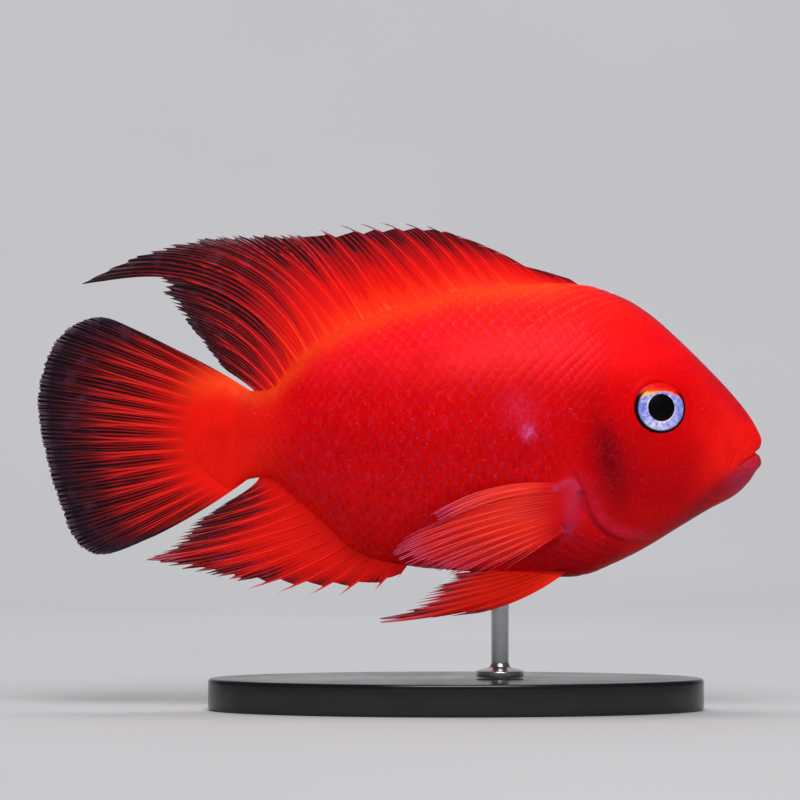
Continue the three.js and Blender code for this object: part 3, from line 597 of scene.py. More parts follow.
def on_flank(station, arc):
    """Points and normals of the right flank, at a station and a height measured along the skin."""
    i = np.clip((station - flank_s[0]) / (flank_s[1] - flank_s[0]), 0, len(flank_s) - 1.001)
    top, low = np.interp(station, flank_s, top_arc), np.interp(station, flank_s, low_arc)
    beyond = (arc > top) | (arc < low)  # over the ridge of the back or under the keel of the belly
    arc = np.where(arc > top, 2 * top - arc, np.where(arc < low, 2 * low - arc, arc))
    j = np.clip((arc + ARC_LIMIT) / (flank_arc[1] - flank_arc[0]), 0, len(flank_arc) - 1.001)
    i0, j0 = i.astype(int), j.astype(int)
    fi, fj = i - i0, j - j0
    angle = (angle_of[i0, j0] * (1 - fi) + angle_of[i0 + 1, j0] * fi) * (1 - fj) + (
        angle_of[i0, j0 + 1] * (1 - fi) + angle_of[i0 + 1, j0 + 1] * fi) * fj
    point, normal = body(station, angle), body_normal(station, angle)
    mirror = np.where(beyond, -1.0, 1.0)
    point[..., 1] *= mirror
    normal[..., 1] *= mirror
    return point, normal


# %% [markdown]
# The finish of a scale
#
# A scale is a thin clear horny plate over the pigment. Its free rim is paler and more orange, where light
# passes through it, and the middle of the part that shows is darker, with a rose bloom that is strongest
# from the middle of the flank down. Higher up, towards the back, the middle and the rim are painted pinker
# and lighter, partly their own colour and partly a painted highlight for light from above, and small painted
# glints fleck the coat. No two are quite alike, so each has its own tone. Painting all of this into the skin
# would be quick, but a scale's rim would then not follow its real edge, so each point of a plate knows how
# near it is to the middle and to the rim.

# %% Scale material
# Clear horn under mucus: the skin's red with an orange rim and a bloom, and a slightly sharper shine
SCALES, tree = new_material("fish scale, horny plate, wet")
red, place = fish_red(tree)
# The middle of a scale by height: dark towards the belly and pink towards the back, partly its own colour and
# partly painted shade below and a painted highlight above
deep = add(tree, "ValToRGB", {"Fac": "height"}, stops=[
    (0.1, "#8A0410"), (0.45, "#98000C"), (0.58, "#B4041A"), (0.74, "#F41834")])
tone = add(tree, "MapRange", {"Value": "tone", "To Min": 0.3, "To Max": 0.85})
colour = layer(tree, red, deep, tone, "core")
streak = add(tree, "Mapping", {"Vector": place, "Scale": (1.0, 1.0, 0.4)})
streak = add(tree, "TexNoise", {  # upright streaks of guanine under the horn, about 0.7 mm wide
    "Vector": streak, "Scale": 1 / (1.2 * MM), "Detail": 4.0, "Roughness": 0.7})
streak = add(tree, "MapRange", {"Value": streak, "From Min": 0.48, "From Max": 0.75, "To Max": 0.6})
band = add(tree, "MapRange", {"Value": "height", "From Min": 0.7, "From Max": 0.5, "To Min": 0.3})
colour = layer(tree, colour, "#C03060", streak, "core", band)
# The rim by height: brighter and pinker towards the back, partly its own colour and partly a painted
# highlight from the light above
pale = add(tree, "ValToRGB", {"Fac": "height"}, stops=[
    (0.1, "#D0180E"), (0.45, "#EC1008"), (0.66, "#FC3420"), (0.95, "#FF6048")])
patchy = add(tree, "TexNoise", {  # gaps in the pale rims, about 1 mm
    "Vector": place, "Scale": 1 / (1.6 * MM), "Detail": 2.0})
patchy = add(tree, "MapRange", {"Value": patchy, "From Min": 0.32, "From Max": 0.62, "To Max": 0.72})
colour = layer(tree, colour, pale, "rim", patchy)
# Painted glints: small pale pink specks in the colour that stand for highlights on wet mucus
fleck = add(tree, "TexNoise", {  # glints of mucus and guanine, about 0.4 mm
    "Vector": place, "Scale": 1 / (0.6 * MM), "Detail": 2.0})
fleck = add(tree, "MapRange", {"Value": fleck, "From Min": 0.66, "From Max": 0.76, "To Max": 0.5})
bump = add(tree, "Bump", {"Height": fleck, "Strength": 0.2, "Distance": 0.05 * MM})
shader = add(tree, "BsdfPrincipled", WET | {
    "Base Color": layer(tree, colour, "#F04858", fleck), "Normal": bump, "Subsurface Weight": 0.08,
    "Subsurface Scale": 1.0 * MM, "Coat Weight": 0.06, "Coat Roughness": 0.2})
add(tree, "OutputMaterial", {"Surface": shader})

# %% One scale, as a plate of unit size
SCALE_SECTORS = 16
SCALE_RINGS = (0.45, 0.82, 1.0)
SCALE_LIFT = 0.08  # of the rear edge over the skin
SCALE_DOME = 0.11  # how far its middle bulges
SCALE_THICK = 0.05
SCALE_AHEAD, SCALE_BEHIND = 0.8, 0.72  # how far a plate reaches from its place, in scale lengths
sector = np.arange(SCALE_SECTORS)
around = sector * 2 * math.pi / SCALE_SECTORS
circle = np.stack([np.cos(around), np.sin(around)], -1)
plate = np.vstack([[[0, 0]]] + [r * circle for r in SCALE_RINGS] + [circle, [[0, 0]]])
rim_start = 1 + SCALE_SECTORS * len(SCALE_RINGS)
beside = (sector + 1) % SCALE_SECTORS
PLATE_FANS = np.vstack([
    np.stack([0 * sector, 1 + sector, 1 + beside], -1),
    np.stack([0 * sector + len(plate) - 1, rim_start + beside, rim_start + sector], -1),
])
PLATE_RINGS = np.vstack([
    np.stack([k + sector, k + SCALE_SECTORS + sector, k + SCALE_SECTORS + beside, k + beside], -1)
    for k in range(1, rim_start, SCALE_SECTORS)
])
print("one scale:", len(plate), "points,", len(PLATE_FANS) + len(PLATE_RINGS), "faces")

# %% Where the scales sit on one side
MOST_ROWS = 48  # above or below the flank's middle
EDGE_GAP = 0.6  # between the last row and the ridge of the back or the keel of the belly
chance = np.random.default_rng(7)
places = []
for row in range(-MOST_ROWS, MOST_ROWS + 1):
    for column in np.arange(math.floor(column_of[-1]) + 1) + 0.5 * (row % 2):
        station = np.interp(column, column_of, flank_s)
        long_ = np.interp(np.interp(station, flank_s, flank_line[:, 0]), SCALE_X, SCALE_LENGTH)
        arc = row * long_ * ROW_SHARE
        low, top = np.interp(station, flank_s, low_arc), np.interp(station, flank_s, top_arc)
        if low + EDGE_GAP < arc < top - EDGE_GAP:
            places.append((station, arc, long_))
places = np.array([p for p in places if p[0] < LAST - 0.05])
covered = scaled(on_flank(places[:, 0], places[:, 1])[0])
places, covered = places[covered > 0.03], covered[covered > 0.03]
print(len(places), "scales a side")


# %% The coat of scales
def scale_coat(name, side, chosen):
    """One piece of the coat: the chosen scales of one side (-1 right, 1 left) as joined plates."""
    station, arc, long_ = places[chosen].T
    cover = covered[chosen][:, None]
    size = 1 + 0.05 * chance.standard_normal(len(station))
    turn = 0.06 * chance.standard_normal(len(station))[:, None]
    lift = SCALE_LIFT * (1 + 0.2 * chance.standard_normal(len(station))) * np.minimum(long_ / 2.6, 1) ** 2
    bearing = np.arctan2(plate[:, 1], plate[:, 0])
    phase = chance.uniform(0, 2 * math.pi, (3, len(station), 1))
    # An outline that is never quite round, turned a little
    uneven = 1 + 0.045 * sum(np.sin(waves * bearing + phase[k]) for k, waves in enumerate((2, 3, 5)))
    a = (plate[:, 0] * np.cos(turn) - plate[:, 1] * np.sin(turn)) * uneven
    b = (plate[:, 0] * np.sin(turn) + plate[:, 1] * np.cos(turn)) * uneven
    # The plate laid on the flank, its front edge under the scale before it and its rear edge standing off
    rear = np.where(a > 0, SCALE_BEHIND, SCALE_AHEAD) * a
    stations_long = long_ * size * np.interp(station, flank_s, station_per_mm)
    at_station = station[:, None] + rear * stations_long[:, None]
    at_arc = arc[:, None] + b * (long_ * ROW_SHARE * 1.1 * size)[:, None]
    loft, normal = on_flank(np.clip(at_station, flank_s[0], LAST), at_arc)
    radius = np.hypot(plate[:, 0], plate[:, 1])
    height = lift[:, None] * (rear + SCALE_AHEAD) / 1.5 + SCALE_DOME * (1 - radius**2) + 0.02
    height[:, rim_start - SCALE_SECTORS : rim_start] -= 0.02
    height[:, rim_start:] -= SCALE_THICK
    height = (height + SCALE_BED) * cover - 0.05 * (1 - cover)  # the last plates sink into the skin
    point = loft + normal * height[..., None]
    point[..., 1] *= -side

    count = len(plate)
    offset = (np.arange(len(station)) * count)[:, None, None]
    faces = [(f[None] + offset).reshape(-1, f.shape[1]) for f in (PLATE_FANS, PLATE_RINGS)]
    if side < 0:
        faces = [f[:, ::-1] for f in faces]
    marks = markings(loft.reshape(-1, 3))
    core = hump(np.hypot((plate[:, 0] - 0.36) / 0.3, plate[:, 1] / 0.62), 1.0)
    rim = ease((radius - 0.68) / 0.3) * ease(plate[:, 0] * 2 + 0.4)
    shown = cover * ease((58 - loft[..., 0]) / 16)  # the pattern fades before the plates do
    marks["core"] = (core * shown).ravel() * (1 - 0.7 * marks["stalk"]) * (1 - 0.8 * marks["glow"])
    marks["rim"] = (rim * shown).ravel()
    marks["tone"] = np.repeat(chance.random(len(station)), count)
    uv = np.stack([station / LAST, 0.5 + arc / (2 * ARC_LIMIT)], -1)[:, None] + 0.0015 * plate[None]
    return make_piece(name, point.reshape(-1, 3), faces, SCALES, (), marks, uv.reshape(-1, 2))


in_front = places[:, 0] < 12.0  # stations ahead of this go to the front piece
for side, side_name in ((-1, "right"), (1, "left")):
    scale_coat("scales_front_" + side_name, side, in_front)
    scale_coat("scales_rear_" + side_name, side, ~in_front)

# %% [markdown]
# The eyes
#
# The eye is a wide pale blue iris round a large black pupil, under a clear cornea. Glass over a sunken iris
# would need many light bounces, so the iris is painted on the cornea's own dome, under a clear coat that
# gives the wet highlight. A dark ring surrounds the iris, wider behind, and red pigment hoods its top.

# %% Eye material
# Cornea over iris: guanine crystals give the iris its blue-white, and the wet cornea its sharp shine
PUPIL_RADIUS = 3.42
EYE, tree = new_material("iris under wet cornea")
place = (add(tree, "TexCoord"), "Object")
spokes = add(tree, "CombineXYZ", {"X": "eye_turn_x", "Y": "eye_turn_z", "Z": "radius"})
spokes = add(tree, "Mapping", {"Vector": spokes, "Scale": (6.0, 6.0, 1.0)})
streak = add(tree, "TexNoise", {  # crystals in short spokes, about 0.5 mm wide
    "Vector": spokes, "Scale": 1.0, "Detail": 4.0, "Roughness": 0.62, "Distortion": 0.3})
cloud = add(tree, "TexNoise", {  # darker veins, about 1.5 mm
    "Vector": place, "Scale": 1 / (2.6 * MM), "Detail": 3.0, "Roughness": 0.55})
low = add(tree, "MapRange", {"Value": "eye_up", "From Min": -1.0, "From Max": -5.0, "To Max": 0.18})
pallor = add(tree, "Math", {0: streak, 1: low}, operation="ADD")
iris = add(tree, "ValToRGB", {"Fac": pallor}, stops=[
    (0.3, "#4E5EBE"), (0.45, "#8088D6"), (0.58, "#A6A8E4"), (0.72, "#E0DCF6")])
vein = add(tree, "MapRange", {"Value": cloud, "From Min": 0.54, "From Max": 0.64, "To Max": 0.5})
iris = layer(tree, iris, "#4A58B0", vein)
rim_shade = add(tree, "MapRange", {"Value": "radius", "From Min": 4.6, "From Max": 5.6, "To Max": 0.4})
iris = layer(tree, iris, "#5A66C0", rim_shade)
ring = add(tree, "MapRange", {
    "Value": "radius", "From Min": PUPIL_RADIUS + 0.4, "From Max": PUPIL_RADIUS + 0.12})
broken = add(tree, "MapRange", {"Value": cloud, "From Min": 0.42, "From Max": 0.58, "To Max": 0.8})
iris = layer(tree, iris, "#F0E0F4", ring, broken)
wobble = add(tree, "MapRange", {
    "Value": cloud, "From Min": 0.3, "From Max": 0.7, "To Min": -0.35, "To Max": 0.35})
hood = add(tree, "Math", {0: "eye_up", 1: wobble}, operation="ADD")
behind = add(tree, "MapRange", {"Value": "eye_ahead", "From Min": 0.5, "From Max": -4.0, "To Max": 0.35})
hood_place = add(tree, "MapRange", {"Value": hood, "From Min": 3.5, "From Max": 6.0})
hood_place = add(tree, "Math", {0: hood_place, 1: behind}, operation="SUBTRACT")
hood_colour = add(tree, "ValToRGB", {"Fac": hood_place}, stops=[
    (0.0, "#FFAE40"), (0.12, "#F46A1A"), (0.3, "#EE240C"), (0.7, "#DC0A0A")])
hooded = add(tree, "MapRange", {"Value": hood, "From Min": 3.45, "From Max": 4.0})
iris = layer(tree, iris, hood_colour, hooded)
pupil = add(tree, "MapRange", {
    "Value": "radius", "From Min": PUPIL_RADIUS + 0.06, "From Max": PUPIL_RADIUS - 0.06})
colour = layer(tree, layer(tree, iris, "#020203", pupil), "#0C0206", "limbus")
shader = add(tree, "BsdfPrincipled", WET | {
    "Base Color": colour, "IOR": 1.38, "Specular IOR Level": 0.1,
    "Coat Weight": 0.08, "Coat Roughness": 0.08})
add(tree, "OutputMaterial", {"Surface": shader})

# %% Eye meshes
EYE_SEGMENTS = 128
EYE_BULGE = 1.5
BOWL_RADII, BOWL_HEIGHTS = [6.58, 6.2, 5.2, 4.0], [-0.6, -2.0, -3.6, -5.0]  # the ball behind the opening


def eyeball(name, side, node):
    """A shallow dome over a deeper bowl, with the lens standing a little proud in the pupil."""
    r = np.concatenate([np.linspace(0.02, EYE_RADIUS, 80), BOWL_RADII])
    h = EYE_BULGE * (1 - (np.minimum(r, EYE_RADIUS) / EYE_RADIUS) ** 2)
    h += 0.14 * ease((PUPIL_RADIUS - 0.02 - r) / 0.5) - 0.08 * hump(r - 3.8, 0.35)
    h[-len(BOWL_HEIGHTS) :] = BOWL_HEIGHTS
    across = np.cross(EYE_AXIS, [0, 0, 1.0])
    across /= np.linalg.norm(across) * np.sign(across[0])
    up = np.cross(across, EYE_AXIS)
    up *= np.sign(up[2])
    rr, turn = np.meshgrid(r, np.arange(EYE_SEGMENTS) * 2 * math.pi / EYE_SEGMENTS)
    ahead, above = rr * np.cos(turn), EYE_SQUASH * rr * np.sin(turn)
    points = EYE_POINT + ahead[..., None] * across + above[..., None] * up + h[:, None] * EYE_AXIS
    ends = EYE_POINT + h[[0, -1], None] * EYE_AXIS
    points = np.vstack([points.reshape(-1, 3), ends]) * np.array([1, -side, 1.0])
    faces = turned_faces(EYE_SEGMENTS, len(r))
    if side < 0:
        faces = [f[:, ::-1] for f in faces]
    limbus = ease((np.hypot(ahead - 0.27, above / EYE_SQUASH + 0.1) - 5.6) / 0.4)
    marks = {  # the last two values of each are those of the two ends
        "radius": np.append(np.hypot(ahead - 0.18, above), [0, 6]),
        "eye_up": np.append(above + 0.05 * (ahead - 0.3) ** 2, [0, 0]),
        "eye_ahead": np.append(ahead, [0, 0]),
        "limbus": np.append(limbus * ease((5.2 - above - 0.03 * ahead**2) / 1.2), [0, 1]),
        "eye_turn_x": np.append(np.cos(turn), [0, 0]),
        "eye_turn_z": np.append(np.sin(turn), [0, 0]),
    }
    return make_piece(name, points, faces, EYE, [node], marks)


eyeball("eyeball_right", -1, "eye_right")
eyeball("eyeball_left", 1, "eye_left")

# %% [markdown]
# The fins
#
# A fin is a thin web stretched between rays. The front of the dorsal and of the anal fin has stiff spines
# with free tips, and the rest has soft rays that fork on their way out. One sheet per fin, dense enough to
# carry every ray as a ridge on both faces, keeps the web and the rays in one closed surface. Separate tubes
# for the rays would be simple too, but they look stuck on at the root.

# %% The rays and how far they reach
WEB_THICK = 0.16  # between two rays
WANDER = 0.14  # how far a ray strays from its line, as a share of the space between rays


def even(value):
    """The same value for every ray."""
    return lambda u: value + 0 * u


def branches(ray, forks, out, wiggle):
    """Where the branches of each ray lie, in shares of the space between rays, out along the fin."""
    offsets, spread = [0 * out], 0.25
    for level, start in enumerate(forks):
        begin = start + 0.08 * wiggle[level][ray]
        away = spread * ease((out - begin) / (1.05 - begin)) ** 0.8
        uneven = 1 + 0.25 * wiggle[level + 3][ray]
        offsets = [o + sign * away * uneven for o in offsets for sign in (-1, 1)]
        spread /= 2
    return offsets


def reach_of(u, spines, forks, wiggle, notch, spine_notch, settle):
    """The share of the fin's length that is there at each u: less between tips, and less behind a spine."""
    ray = np.round(u).astype(int)
    local = u - ray
    tips = np.min([np.abs(local - o) for o in branches(ray, forks, 1 + 0 * u, wiggle)], axis=0)
    between = np.clip(tips / (0.5 / 2 ** len(forks)), 0, 1) ** 0.7
    ragged = 0.35 * (1 + wiggle[7][ray]) * ease(np.abs(local) * 2)
    soft = 1 - notch(u) * (between * (1 + 0.5 * wiggle[6][ray]) + ragged)
    if spines > 1:
        soft *= 1 - settle * (1 - ease((u - spines - 0.5) / 3))
    after = u - np.floor(u)
    spiny = 1 - spine_notch(u) * ease(after / 0.09) * ease((1 - after) / 0.07) * (0.8 + 0.35 * after)
    return np.where(u < spines + 0.5, spiny, soft)


# %% One fin's sheet
def fin_sheet(name, nodes, path, rays, material, seed, per_ray, root, ridge, ridge_width, notch,
              step=0.45, spines=-1, forks=(), spine_notch=even(0), settle=0.1, redder=even(0), bare=0.1,
              bundled=0.16, flesh=3.0, facing=1.0):
    """A fin over path(u, v): u counts the rays from the front, and v goes from root to tip. The grid has
    per_ray columns to a ray, and its rows are step apart.
    root: the thickness at the root, and the share of the length over which it fades.
    ridge, ridge_width, bare: a ray's height and width, and over which share of the length it rises.
    notch, spine_notch, settle: how far the web is cut back between tips and behind spines, and how much the
    first soft ray falls short.
    spines, forks: rays up to the number spines are plain, and the others fork at these shares of the length.
    redder, bundled, flesh: how far the dark margin is moved out, or in where it is negative, how much
    further out it lies on the rays, and how many millimetres the body's skin runs out on the fin.
    facing: 1 or -1, the side that is built first."""
    def length_of(u):
        return np.linalg.norm(path(u, 1 + 0 * u) - path(u, 0 * u), axis=-1)

    wiggle = np.random.default_rng(seed).uniform(-1, 1, (8, rays + 1))
    u = np.linspace(0, rays - 1, (rays - 1) * per_ray + 1)
    u, v = np.meshgrid(u, np.linspace(0, 1, int(length_of(u).max() / step) + 1), indexing="ij")
    ray = np.round(u).astype(int)
    on_spine = u < spines + 0.5
    out = v * reach_of(u, spines, forks, wiggle, notch, spine_notch, settle)
    stray = WANDER * np.interp(u, np.arange(rays + 1), wiggle[5]) * np.sin(out * math.pi) * ease(out * 3)
    points = path(np.clip(u + stray, 0, rays - 1), out)

    ahead, back = np.minimum(u + 0.02, rays - 1), np.maximum(u - 0.02, 0)
    gap = np.linalg.norm(path(ahead, out) - path(back, out), axis=-1) / (ahead - back)
    width = ridge_width * (1 - 0.45 * out)
    nearest = np.min([np.abs(u - ray - o) for o in branches(ray, forks, out, wiggle)], axis=0)
    nearest = np.where(on_spine, 0.75 * np.abs(u - ray), nearest)
    tall = ridge * (1 - 0.72 * out) * ease((out - 0.4 * bare) / bare)
    thick = WEB_THICK + root[0] * np.exp(-out / root[1]) + tall * hump(nearest * gap, width)
    thick = thick * (1 - 0.6 * ease((v - 0.93) / 0.07))
    side = np.array([0.0, 0.5 * facing, 0.0]) * thick[..., None]

    columns, rows = u.shape
    n = columns * rows
    index = np.arange(n).reshape(columns, rows)
    border = np.concatenate([index[0, :], index[1:, -1], index[-1, -2::-1], index[-2:0:-1, 0]])
    beside = np.roll(border, -1)
    faces = [
        grid_faces(columns, rows), grid_faces(columns, rows, start=n)[:, ::-1],
        np.stack([border, border + n, beside + n, beside], -1),
    ]
    shift = redder(u)
    free_tip = on_spine * ease((out - 1 + 0.75 * spine_notch(u)) / 0.04)
    marks = markings(points) | {
        "out": out,
        "fade": out - bundled * (hump(u - ray, 0.24) - 0.5) - shift,
        "dim": np.clip(-2.5 * shift, 0, 0.9) * ease((out - 0.4) / 0.5),  # how much the rays darken
        "across": u,
        "off_ray": nearest * gap / width * (1 - free_tip),
        "flesh": 1 - ease((out * length_of(u) - 0.2 * flesh) / (0.8 * flesh)),
    }
    uv = np.stack([u / (rays - 1) * 0.49, v], -1).reshape(-1, 2)
    both_sides = np.vstack([(points - side).reshape(-1, 3), (points + side).reshape(-1, 3)])
    return make_piece(
        name, both_sides, faces, material, nodes,
        {key: np.tile(mark.ravel(), 2) for key, mark in marks.items()}, np.vstack([uv, uv + [0.51, 0]]),
    )


# %% How a fin's rays run
HOOK = np.array([-1.6, -2.0])  # how far a hooked tip is bent back and down


def bowed(start, end, bow, v):
    """Places in the side view between start and end, on a line bent sideways by bow times its length."""
    run = end - start
    lift = (bow * 4 * v * (1 - v))[..., None]
    return start + run * v[..., None] + np.stack([run[..., 1], -run[..., 0]], -1) * lift


def flat_fin(roots, tips, bow, wave, hooked=even(0)):
    """Points of a fin in the middle plane, with t from its front to its rear and v from root to tip. roots is
    a table and tips(t) a curve, bow(t) bends the rays, wave(t, v) moves them sideways, and hooked(t) is how
    much of the hook a tip has."""
    def points(t, v):
        bend = hooked(t)[..., None] * HOOK
        flat = bowed(along(roots, t), tips(t) - bend, bow(t), v) + bend * (v**8)[..., None]
        return np.stack([flat[..., 0], wave(t, v), flat[..., 1]], -1)
    return points


def paired_fin(side, roots, tips, root_out, tip_out, bow, leave, ripple=0.0):
    """Points of a fin beside the body, one ray to each row of tips. root_out and tip_out are how far roots
    and tips stand from the middle plane, leave(v) is how a ray goes from one to the other, and ripple makes
    the margin wavy."""
    def points(u, v):
        t = u / (len(tips) - 1)
        flat = bowed(along(roots, t), along(tips, t), bow(t), v)
        out, out_tip = along(root_out, t), along(tip_out, t)
        y = out + (out_tip - out) * leave(v) + ripple * v * np.sin(9 * t)
        return np.stack([flat[..., 0], side * y, flat[..., 1]], -1)
    return points

# %% [markdown]
# The finish of a fin
#
# The web is two layers of thin skin, red with pigment near the body and dark towards the margin. That dark is
# partly black pigment cells taking over from the red ones and partly painted: the web is clear, and the
# colour stands for a dark background seen through it. The rays are bone segments that stay red further out
# and end pale. Fine streaks run with the rays all over. All of this follows the fin's own directions, so the
# noise that draws the streaks is stretched along the rays by feeding it the ray's number and the way out, not
# plain space.

# %% Fin material
def fin_material(name, web, ray, streaks=0.6, lines=5.0):
    """Rays and web coloured from root to margin. web and ray hold a ramp's stops, lines is the number of fine
    lines from one ray to the next, and streaks is how strongly they show."""
    material, tree = new_material(name)
    red, place = fish_red(tree)
    along_rays = add(tree, "CombineXYZ", {"X": "across", "Y": "out"})
    fine = add(tree, "Mapping", {"Vector": along_rays, "Scale": (11.0, 3.0, 1.0)})
    fine = add(tree, "TexNoise", {  # streaks, 0.2 mm wide and 6 mm long where the rays are 3 mm apart
        "Vector": fine, "Scale": 1.0, "Detail": 3.0, "Roughness": 0.6})
    broad = add(tree, "Mapping", {"Vector": along_rays, "Scale": (1.7, 2.2, 1.0)})
    broad = add(tree, "TexNoise", {  # broader changes, 1 mm wide and 8 mm long there
        "Vector": broad, "Scale": 1.0, "Detail": 2.0})
    cloud = add(tree, "TexNoise", {  # mottled pigment, about 2.5 mm
        "Vector": place, "Scale": 1 / (4 * MM), "Detail": 4.0, "Roughness": 0.6})
    at = "fade"
    for noise, most in ((broad, 0.06), (fine, 0.09)):
        shift = add(tree, "MapRange", {
            "Value": noise, "From Min": 0.3, "From Max": 0.7, "To Min": -most, "To Max": most})
        at = add(tree, "Math", {0: at, 1: shift}, operation="ADD")
    # The web's ramp darkens towards the margin: partly its own dark pigment, partly a painted dark background
    # seen through the clear web
    web_colour = add(tree, "ValToRGB", {"Fac": at}, stops=web)
    ray_colour = add(tree, "ValToRGB", {"Fac": "out"}, stops=ray)
    ray_colour = layer(tree, ray_colour, "#30060E", "dim")
    mauve = add(tree, "MapRange", {"Value": cloud, "From Min": 0.54, "From Max": 0.72, "To Max": 0.35})
    dark_part = add(tree, "MapRange", {"Value": at, "From Min": 0.55, "From Max": 0.85})
    web_colour = layer(tree, web_colour, "#54304E", mauve, dark_part)
    bend = add(tree, "Math", {0: broad, 1: 1.5}, operation="MULTIPLY")
    line = add(tree, "Math", {0: "across", 1: lines, 2: bend}, operation="MULTIPLY_ADD")
    line = add(tree, "Math", {0: line, 1: 0.5}, operation="PINGPONG")
    line = add(tree, "MapRange", {"Value": line, "From Min": 0.26, "From Max": 0.1})
    whole = add(tree, "MapRange", {"Value": fine, "From Min": 0.3, "From Max": 0.56, "To Max": streaks})
    web_colour = layer(tree, web_colour, ray_colour, line, whole)
    on_ray = add(tree, "MapRange", {"Value": "off_ray", "From Min": 1.1, "From Max": 0.4, "To Max": 0.92})
    colour = layer(tree, web_colour, ray_colour, on_ray)
    bump = add(tree, "Bump", {"Height": fine, "Strength": 0.35, "Distance": 0.12 * MM})
    shader = add(tree, "BsdfPrincipled", WET | {
        "Base Color": layer(tree, colour, red, "flesh"), "Specular IOR Level": 0.12, "Normal": bump,
        "Subsurface Weight": 0.08, "Subsurface Scale": 0.8 * MM, "Subsurface Radius": (1.0, 0.15, 0.1),
        "Coat Weight": 0.07, "Coat Roughness": 0.22})
    add(tree, "OutputMaterial", {"Surface": shader})
    return material

# %% [markdown]
# The dorsal fin
#
# Fourteen spines carry its front part, each with a free, pale, hooked tip, and the web is cut down behind
# every one. Soft rays carry the sail behind, which runs out into a long filament. Two sheets would meet in a
# seam, so one sheet makes both, and the web runs on from the last spine to the first soft ray.

# %% Dorsal fin
SPINE_ROOTS = [[47.5, 34.2], [42, 33.6], [34.5, 33.6], [26, 33.4], [17, 32.2], [7.5, 29.8], [-8, 24.6]]
SPINE_TIPS = [
    [42.2, 37.9], [36.2, 39.7], [28, 41.8], [23.2, 44.3], [19, 46.1], [14, 48.2], [8.8, 50.2],
    [5.2, 51.2], [0.5, 51.7], [-4.6, 51.7], [-10, 51.5], [-15.2, 51.2], [-21.6, 50.8], [-28.2, 49.8],
]
SOFT_ROOTS = [[-8.9, 24.3], [-15.4, 21.2], [-22.4, 16.6], [-27, 11.4], [-30, 7.6], [-33.4, 6.4]]
SOFT_UPPER = [[-29.4, 49.6], [-37, 49.4], [-44, 48.9], [-50.6, 48.1], [-58, 46.4], [-67.6, 43], [-80, 36.4]]
SOFT_REAR = [
    [-80, 36.4], [-62.2, 38.4], [-60, 34.4], [-57, 30.8], [-53, 26.2], [-48.8, 20.8], [-44.4, 15.6],
    [-39.2, 12.4],
]
LAST_SPINE = len(SPINE_TIPS) - 1
SOFT_RAYS = 14
FILAMENT_AT = 6 / (SOFT_RAYS - 1)  # its share of the way from the first soft ray to the last


def sail_tips(t):
    """Tips of the soft rays, along the upper margin to the filament's end and down the rear one."""
    upper = along(SOFT_UPPER, t / FILAMENT_AT)
    rear = along(SOFT_REAR, (t - FILAMENT_AT) / (1 - FILAMENT_AT))
    return np.where((t < FILAMENT_AT)[..., None], upper, rear)


spiny_points = flat_fin(
    SPINE_ROOTS, lambda t: along(SPINE_TIPS, t), bow=even(0.03), wave=lambda t, v: 0 * t * v,
    hooked=lambda t: ease(t / 0.4),
)
sail_points = flat_fin(
    SOFT_ROOTS, sail_tips, bow=lambda t: 0.03 + 0.15 * ease(t / 0.4) - 0.15 * ease((t - 0.5) / 0.4),
    wave=lambda t, v: 1.6 * v * v * np.sin(2.6 * t + 0.4), hooked=lambda t: 1 - ease(t / 0.15),
)


def dorsal_points(u, v):
    """The spines 0 to 13, then the soft rays 14 to 27, with the web between the two groups joined."""
    share = ease(u - LAST_SPINE)[..., None]
    spiny = spiny_points(np.minimum(u / LAST_SPINE, 1), v)
    sail = sail_points(np.clip((u - LAST_SPINE - 1) / (SOFT_RAYS - 1), 0, 1), v)
    return (1 - share) * spiny + share * sail


# Skin stretched over bone rays: orange-red at the root, where it meets the painted highlight along the back,
# smoky at the margin, partly dark pigment and partly a painted dark background seen through the clear web,
# with a soft wet shine
DORSAL = fin_material(
    "fin web, dorsal, wet",
    [(0.0, "#FF4A18"), (0.12, "#FA2A10"), (0.36, "#D80C0A"), (0.58, "#980810"), (0.72, "#30060E"),
     (1.0, "#120810")],
    [(0.0, "#FF4A1C"), (0.3, "#F8241A"), (0.66, "#F81E1A"), (0.84, "#E83038"), (0.93, "#E8A0AC"),
     (1.0, "#F4ECF0")],
    streaks=0.38,
)
fin_sheet(
    "dorsal_web", ["dorsal_fin_spiny", "dorsal_fin_soft"], dorsal_points, LAST_SPINE + 1 + SOFT_RAYS,
    DORSAL, 11, spines=LAST_SPINE, forks=(0.3, 0.58), per_ray=20, step=0.5, ridge=0.55,
    ridge_width=0.21, root=(4.6, 0.1), notch=lambda u: 0.06 - 0.055 * hump(u - 20, 1.2), settle=0.03,
    spine_notch=lambda u: 0.04 + 0.12 * ease((u - 1) / 5) - 0.06 * ease(u - 12),
    redder=lambda u: 0.02 - 0.34 * ease((u - 14) / 7), bundled=0.1, flesh=4.0,
)

# %% [markdown]
# The anal fin and the tail fin
#
# The anal fin is the dorsal fin's smaller counterpart below: short stout spines in front, and soft rays that
# sweep back to a point, dark at the rear. The tail fin is a fan of soft rays round the stalk's end, scaled
# over its root and nearly black towards its margin. Both stand in the middle plane with a slight sway, so
# they are made as the dorsal fin is.

